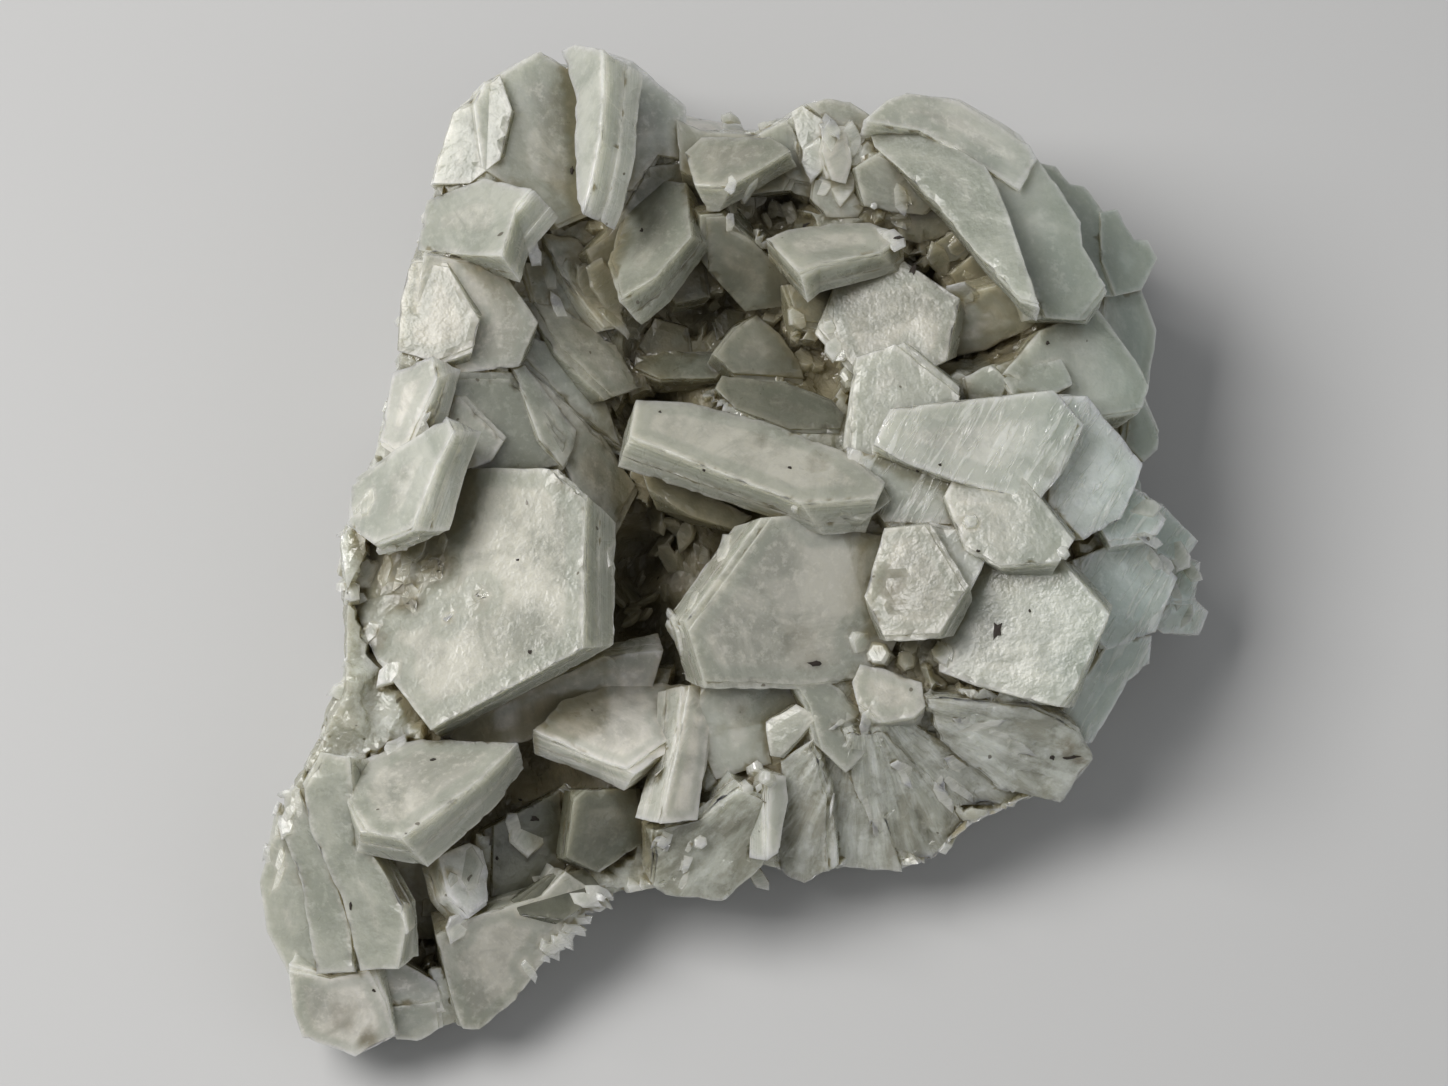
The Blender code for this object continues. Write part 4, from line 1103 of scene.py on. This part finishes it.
def fleck_mesh(surface):
    """Small dark flakes that lie on the crystals."""
    chance = random.Random(FLECK_SEED)
    mesh = bmesh.new()
    for pixel, wide, high in FLECKS:
        hit, normal = seen_at(surface, pixel)
        if hit is None:
            continue
        across = (RIGHT - normal * RIGHT.dot(normal)).normalized()
        along = normal.cross(across)
        outline = []
        for step in range(FLECK_CORNERS):
            angle = step * math.tau / FLECK_CORNERS
            reach = chance.uniform(0.24, 0.66) * PIXEL
            aside, up = math.cos(angle) * reach * wide, math.sin(angle) * reach * high
            outline.append(hit + across * aside + along * up)
        lift = normal * FLECK_LIFT
        upper = [mesh.verts.new(point + lift) for point in outline]
        lower = [mesh.verts.new(point - lift * 3.0) for point in outline]
        middle = mesh.verts.new(hit + lift * 2.2)
        for i in range(FLECK_CORNERS):
            mesh.faces.new((upper[i - 1], upper[i], middle))
            mesh.faces.new((upper[i], upper[i - 1], lower[i - 1], lower[i]))
        mesh.faces.new(lower[::-1])
    return mesh


# Small separate crystals that catch the light: (photo pixel, radius in mm, lean right and up)
SMALL_CRYSTALS = (
    ((970, 522), 1.0, (0.3, 0.2)), ((1063, 552), 0.8, (-0.2, 0.3)), ((795, 508), 0.5, (0.0, 0.5)),
    ((874, 206), 0.5, (0.2, 0.0)), ((796, 337), 0.8, (-0.3, 0.4)), ((806, 345), 0.7, (0.4, 0.1)),
    ((880, 655), 1.6, (-0.3, 0.2)), ((905, 662), 1.4, (0.3, 0.3)), ((936, 656), 1.5, (0.1, -0.2)),
    ((756, 768), 0.9, (0.7, 0.5)), ((766, 778), 1.0, (-0.6, 0.4)), ((747, 788), 0.8, (0.5, -0.5)),
    ((700, 842), 0.9, (0.2, 0.1)),
)


def small_crystals(surface):
    """Little six-sided prisms that stand a little out of the crystals below them."""
    solids = []
    for pixel, radius, lean in SMALL_CRYSTALS:
        hit = seen_at(surface, pixel)[0]
        if hit is None:
            continue
        normal = (RIGHT * lean[0] + UP * lean[1] + TOWARDS).normalized()
        turn = normal.to_track_quat("Z", "Y").to_matrix()
        angles = [side * math.tau / 6.0 for side in range(6)]
        rings = []
        for level, scale in ((0.85, 0.7), (0.6, 1.0), (-1.2, 1.0)):
            ring = [Vector((math.cos(angle) * scale, math.sin(angle) * scale, level)) for angle in angles]
            rings.append([hit + turn @ spot * radius * MM for spot in ring])
        solids.append(stack(rings))
    return solids


class Graph:
    """Short ways to add shader nodes."""

    def __init__(self, material):
        self.tree = material.node_tree

    def fill(self, socket, value):
        """Links the value to the socket, or sets it where it is plain."""
        if isinstance(value, bpy.types.NodeSocket):
            self.tree.links.new(value, socket)
        else:
            socket.default_value = value

    def add(self, kind, inputs=None, **settings):
        node = self.tree.nodes.new(kind)
        for name, value in settings.items():
            setattr(node, name, value)
        for name, value in (inputs or {}).items():
            self.fill(node.inputs[name], value)
        return node

    def attribute(self, name):
        return self.add("ShaderNodeAttribute", attribute_name=name).outputs["Fac"]

    def math(self, operation, first, second=0.0, clamp=False):
        node = self.add("ShaderNodeMath", {0: first, 1: second}, operation=operation, use_clamp=clamp)
        return node.outputs[0]

    def times(self, first, second):
        return self.math("MULTIPLY", first, second)

    def plus(self, first, second):
        return self.math("ADD", first, second)

    def minus(self, first, second):
        return self.math("SUBTRACT", first, second)

    def vector(self, operation, first, second):
        return self.add("ShaderNodeVectorMath", {0: first, 1: second}, operation=operation).outputs[0]

    def combined(self, x, y):
        return self.add("ShaderNodeCombineXYZ", {"X": x, "Y": y}).outputs[0]

    def ramp(self, value, low, high, out_low=0.0, out_high=1.0):
        """The value taken smoothly from low to high."""
        inputs = {"Value": value, "From Min": low, "From Max": high, "To Min": out_low, "To Max": out_high}
        return self.add("ShaderNodeMapRange", inputs, interpolation_type="SMOOTHSTEP").outputs["Result"]

    def mix(self, factor, first, second, blend="MIX"):
        node = self.add("ShaderNodeMix", {0: factor, 6: first, 7: second}, data_type="RGBA", blend_type=blend)
        return node.outputs[2]

    def tint(self, base, where, share, tone):
        """The base drawn towards a tone, by this share where the mask is 1."""
        return self.mix(self.times(where, share), base, tone)

    def noise(self, vector, scale, detail=4.0, rough=0.55, distortion=0.0):
        inputs = {
            "Vector": vector, "Scale": scale, "Detail": detail, "Roughness": rough, "Distortion": distortion}
        return self.add("ShaderNodeTexNoise", inputs).outputs["Fac"]


def colour(red, green, blue):
    """A linear colour from one read off a screen, 0 to 255."""
    linear = (((c / 255.0 + 0.055) / 1.055) ** 2.4 if c > 10 else c / 3295.0 for c in (red, green, blue))
    return (*linear, 1.0)


def clouded(g, place, own_place, seed, wisps):
    """The plates' milky clouds, paler wisps and fine fractures, and the green cast of the right side."""
    cloud = g.noise(own_place, 75.0, 7.0, 0.66, 0.6)
    flour = g.noise(own_place, 900.0, 3.0, 0.7)
    glassy = g.plus(g.times(g.attribute("clear"), 0.25), g.times(g.ramp(seed, 0.0, 1.0), 0.12))
    milky = g.math("SUBTRACT", g.ramp(cloud, 0.36, 0.62), glassy, True)
    base = g.mix(milky, colour(171, 173, 166), colour(228, 227, 222))
    base = g.tint(base, g.ramp(wisps, 0.48, 0.66), 0.6, colour(190, 190, 185))
    base = g.tint(base, g.ramp(flour, 0.48, 0.7), 0.45, colour(236, 235, 231))
    own = g.mix(g.ramp(seed, 0.1, 0.9), colour(255, 252, 248), colour(238, 238, 233))
    base = g.mix(1.0, base, own, "MULTIPLY")

    across = g.add("ShaderNodeSeparateXYZ", {"Vector": place}).outputs["X"]
    east = g.ramp(g.plus(across, g.times(g.noise(place, 30.0), 0.02)), 0.035, 0.065)
    base = g.tint(base, east, 0.6, colour(166, 184, 176))

    veins = g.math("ABSOLUTE", g.minus(g.noise(own_place, 60.0, 3.0, 0.6, 0.6), 0.5))
    cracks = g.times(g.ramp(veins, 0.0, 0.007, 1.0, 0.0), g.ramp(g.noise(place, 80.0, 3.0), 0.5, 0.66))
    return g.tint(base, cracks, 0.14, colour(236, 236, 229))


def edged(g, base, place, seed):
    """A frosted line along the edges, and behind it a clearer, greyer band of each plate's own width."""
    rim = g.attribute("rim")
    past_border = g.minus(rim, g.plus(g.times(seed, 1.9), 1.1))
    past_border = g.plus(past_border, g.times(g.noise(place, 260.0), 0.9))
    clearer = g.times(g.ramp(rim, 0.25, 0.8), g.ramp(past_border, 0.2, 1.1, 1.0, 0.0))
    base = g.tint(base, clearer, 0.4, colour(160, 166, 155))
    frost = g.ramp(g.plus(rim, g.times(g.noise(place, 900.0), 0.5)), 0.3, 0.75, 1.0, 0.0)
    return g.tint(base, frost, 0.2, colour(236, 236, 230))


def stain_and_painted_shade(g, base, place, rock_part):
    """Painted shade, dimmer and warmer where the cluster closes in; each plate's tone, partly painted light
    and shade; a brown in the hollows, partly stain and partly painted shade; mud and specks.
    """
    shelter = g.attribute("shelter")
    # Painted shade: darker and warmer where the cluster closes in
    painted_recess_shade = g.mix(1.0, base, colour(190, 184, 164), "MULTIPLY")
    base = g.mix(g.ramp(shelter, 0.22, 0.72), base, painted_recess_shade)
    # Each plate's tone, partly its own and partly painted light and shade; the darker tones are painted
    # warmer, as shade
    tone = g.attribute("tone")
    tone_and_shade_colour = g.add("ShaderNodeCombineColor", {"Red": tone, "Green": tone, "Blue": g.math("POWER", tone, 1.15)})
    base = g.mix(1.0, base, tone_and_shade_colour.outputs["Color"], "MULTIPLY")

    # A warm brown in the hollows: partly real stain, partly painted shade
    cloud = g.ramp(g.noise(place, 85.0, 5.0, 0.65), 0.3, 0.72)
    stain = g.math("MULTIPLY", g.ramp(shelter, 0.5, 0.95), g.plus(g.times(cloud, 0.6), 0.35), True)
    stain = g.times(stain, g.plus(g.times(rock_part, 0.5), 0.5))
    base = g.tint(base, stain, 0.65, colour(166, 152, 120))
    muddy = g.times(g.attribute("brown"), g.ramp(g.noise(place, 420.0, 4.0, 0.7), 0.3, 0.6))
    base = g.tint(base, muddy, 0.75, colour(126, 116, 92))
    return g.tint(base, g.ramp(g.noise(place, 800.0, 0.0), 0.86, 0.89), 0.8, colour(84, 76, 60))


def calcite_material():
    """Milky translucent calcite: clouded faces, striped sides, frosted edges, warm stain and painted shade in
    the hollows.
    """
    material = bpy.data.materials.new("milky_calcite")
    material.use_nodes = True
    shader = material.node_tree.nodes["Principled BSDF"]
    g = Graph(material)
    place = g.add("ShaderNodeTexCoord").outputs["Object"]
    seed = g.attribute("seed")
    broken = g.attribute("broken")
    ribbed = g.attribute("ribbed")
    rock_part = g.attribute("rocky")
    rough_part = g.math("MAXIMUM", g.math("MAXIMUM", rock_part, g.attribute("sharded")), broken)
    side = g.minus(1.0, g.ramp(g.attribute("face_on"), 0.6, 0.95))
    own_place = g.vector("ADD", place, g.combined(seed, g.times(seed, 0.7)))
    wisps = g.noise(own_place, 210.0, 5.0, 0.66, 1.2)
    base = clouded(g, place, own_place, seed, wisps)

    # The layers that show on the sides
    bands = g.combined(g.times(g.attribute("depth"), 3.4), g.times(seed, 40.0))
    stripes = g.noise(g.vector("ADD", bands, g.vector("MULTIPLY", place, (22.0, 22.0, 22.0))), 1.5, 4.0, 0.7)
    side_tone = g.mix(g.ramp(stripes, 0.3, 0.7), colour(182, 184, 172), colour(214, 214, 204))
    base = g.tint(base, side, 0.6, side_tone)
    base = edged(g, base, place, seed)

    # Clearer, browner calcite where the cluster is broken, streaked outward in the fan
    mottle = g.ramp(g.noise(place, 110.0, 7.0, 0.72), 0.44, 0.6)
    shattered = g.mix(mottle, colour(152, 150, 134), colour(216, 218, 210))
    fan = g.combined(g.times(g.attribute("round_fan"), 1.1), g.times(g.attribute("out_of_fan"), 0.16))
    streaks = g.noise(fan, 1.0, 5.0, 0.62, 0.35)
    streaked = g.mix(g.ramp(streaks, 0.42, 0.62), colour(150, 150, 136), colour(214, 217, 208))
    base = g.tint(base, broken, 0.85, g.mix(0.5, shattered, streaked))
    base = g.tint(base, rock_part, 0.6, shattered)
    base = stain_and_painted_shade(g, base, place, rock_part)

    # Slanting scratches on the ribbed and green plates
    turned = g.add("ShaderNodeVectorRotate", {"Vector": place, "Angle": math.radians(-60.0)}).outputs[0]
    lines = g.vector("MULTIPLY", turned, (170.0, 1250.0, 300.0))
    scratches = g.times(g.ramp(g.noise(lines, 1.0, 2.0, 0.5, 0.8), 0.52, 0.66), ribbed)
    base = g.tint(base, scratches, 0.4, colour(234, 235, 230))

    gloss = g.plus(g.times(wisps, 0.34), 0.16)
    for where, less in ((side, 0.06), (rough_part, 0.26), (ribbed, 0.16)):
        gloss = g.minus(gloss, g.times(where, less))

    # Striped sides, soft waves, low growth terraces, grain, scratches, and splinters where broken
    soft = g.noise(own_place, 230.0, 4.0, 0.6)
    shelves = g.math("SNAP", g.times(g.noise(own_place, 95.0, 3.0, 0.5, 0.7), 9.0), 1.0)
    grain = g.noise(place, 1700.0, 1.0, 0.6)
    splinters = g.math("SNAP", g.times(g.noise(place, 330.0, 3.0, 0.55, 0.9), 7.0), 1.0)
    relief = g.times(stripes, g.times(side, 0.45))
    for height, share in (
        (soft, 0.5), (shelves, 0.03), (grain, 0.14), (scratches, 1.1),
        (splinters, g.times(rough_part, 0.2)), (streaks, g.times(broken, 2.2)),
    ):
        relief = g.plus(relief, g.times(height, share))
    bump = g.add("ShaderNodeBump", {"Height": relief, "Strength": 0.8, "Distance": 0.0005})

    for name, value in (
        ("Base Color", base), ("Roughness", gloss), ("Normal", bump.outputs["Normal"]),
        ("Subsurface Weight", 1.0), ("Subsurface Radius", (1.0, 0.98, 0.84)), ("Subsurface Scale", 0.006),
        ("IOR", 1.58),
    ):
        g.fill(shader.inputs[name], value)
    return material


def plain_material(name, tone, roughness):
    material = bpy.data.materials.new(name)
    material.use_nodes = True
    shader = material.node_tree.nodes["Principled BSDF"]
    shader.inputs["Base Color"].default_value = tone
    shader.inputs["Roughness"].default_value = roughness
    return material


def add_camera():
    camera = bpy.data.cameras.new("camera")
    camera.sensor_width = 36.0
    camera.lens = camera.sensor_width * VIEW_DISTANCE / (PICTURE_SIZE[0] * PIXEL)
    camera.clip_start = 0.01
    holder = link_object("camera", camera)
    turn = Matrix((RIGHT, UP, TOWARDS)).transposed()
    holder.matrix_world = Matrix.Translation(EYE) @ turn.to_4x4()
    bpy.context.scene.camera = holder


# The lights: name, direction, distance and size in metres, power in watts, colour; and the light all round
LIGHTS = (
    ("key", (-0.66, 0.10, 1.05), 0.75, 0.42, 5.8, (1.0, 0.985, 0.962)),
    ("fill", (0.7, -0.5, 0.8), 1.1, 0.9, 1.6, (0.98, 0.985, 1.0)),
)
SKY = (0.80, 0.82, 0.84, 1.0)
SKY_STRENGTH = 0.27


def add_area_light(name, direction, distance, size, power, tone):
    light = bpy.data.lights.new(name, "AREA")
    light.size = size
    light.energy = power
    light.color = tone
    holder = link_object(name, light)
    away = Vector(direction).normalized()
    holder.location = CENTRE + away * distance
    holder.rotation_euler = away.to_track_quat("Z", "Y").to_euler()


def add_studio():
    """A pale floor, one big soft light from the picture's upper left, and a weak fill."""
    mesh = bmesh.new()
    bmesh.ops.create_grid(mesh, x_segments=1, y_segments=1, size=1.5)
    floor = add_object("floor", mesh)
    floor.data.materials.append(plain_material("pale_floor", colour(190, 190, 190), 0.8))
    for light in LIGHTS:
        add_area_light(*light)
    world = bpy.data.worlds.new("studio")
    world.use_nodes = True
    background = world.node_tree.nodes["Background"]
    background.inputs["Color"].default_value = SKY
    background.inputs["Strength"].default_value = SKY_STRENGTH
    bpy.context.scene.world = world


def add_part(name, mesh, material):
    """A piece of the look that rides on the specimen."""
    made = add_object(name, mesh)
    made.data.materials.append(material)
    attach(made, "root")
    return made


def main():
    bpy.context.scene.view_settings.view_transform = "Standard"
    add_camera()
    add_studio()
    cluster = build_cluster()
    cluster.data.materials.append(calcite_material())
    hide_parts("calcite_cluster")
    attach(cluster, "root")
    surface = BVHTree.FromObject(cluster, bpy.context.evaluated_depsgraph_get())
    add_part("dark_flecks", fleck_mesh(surface), plain_material("dirt", colour(38, 30, 22), 0.7))


main()
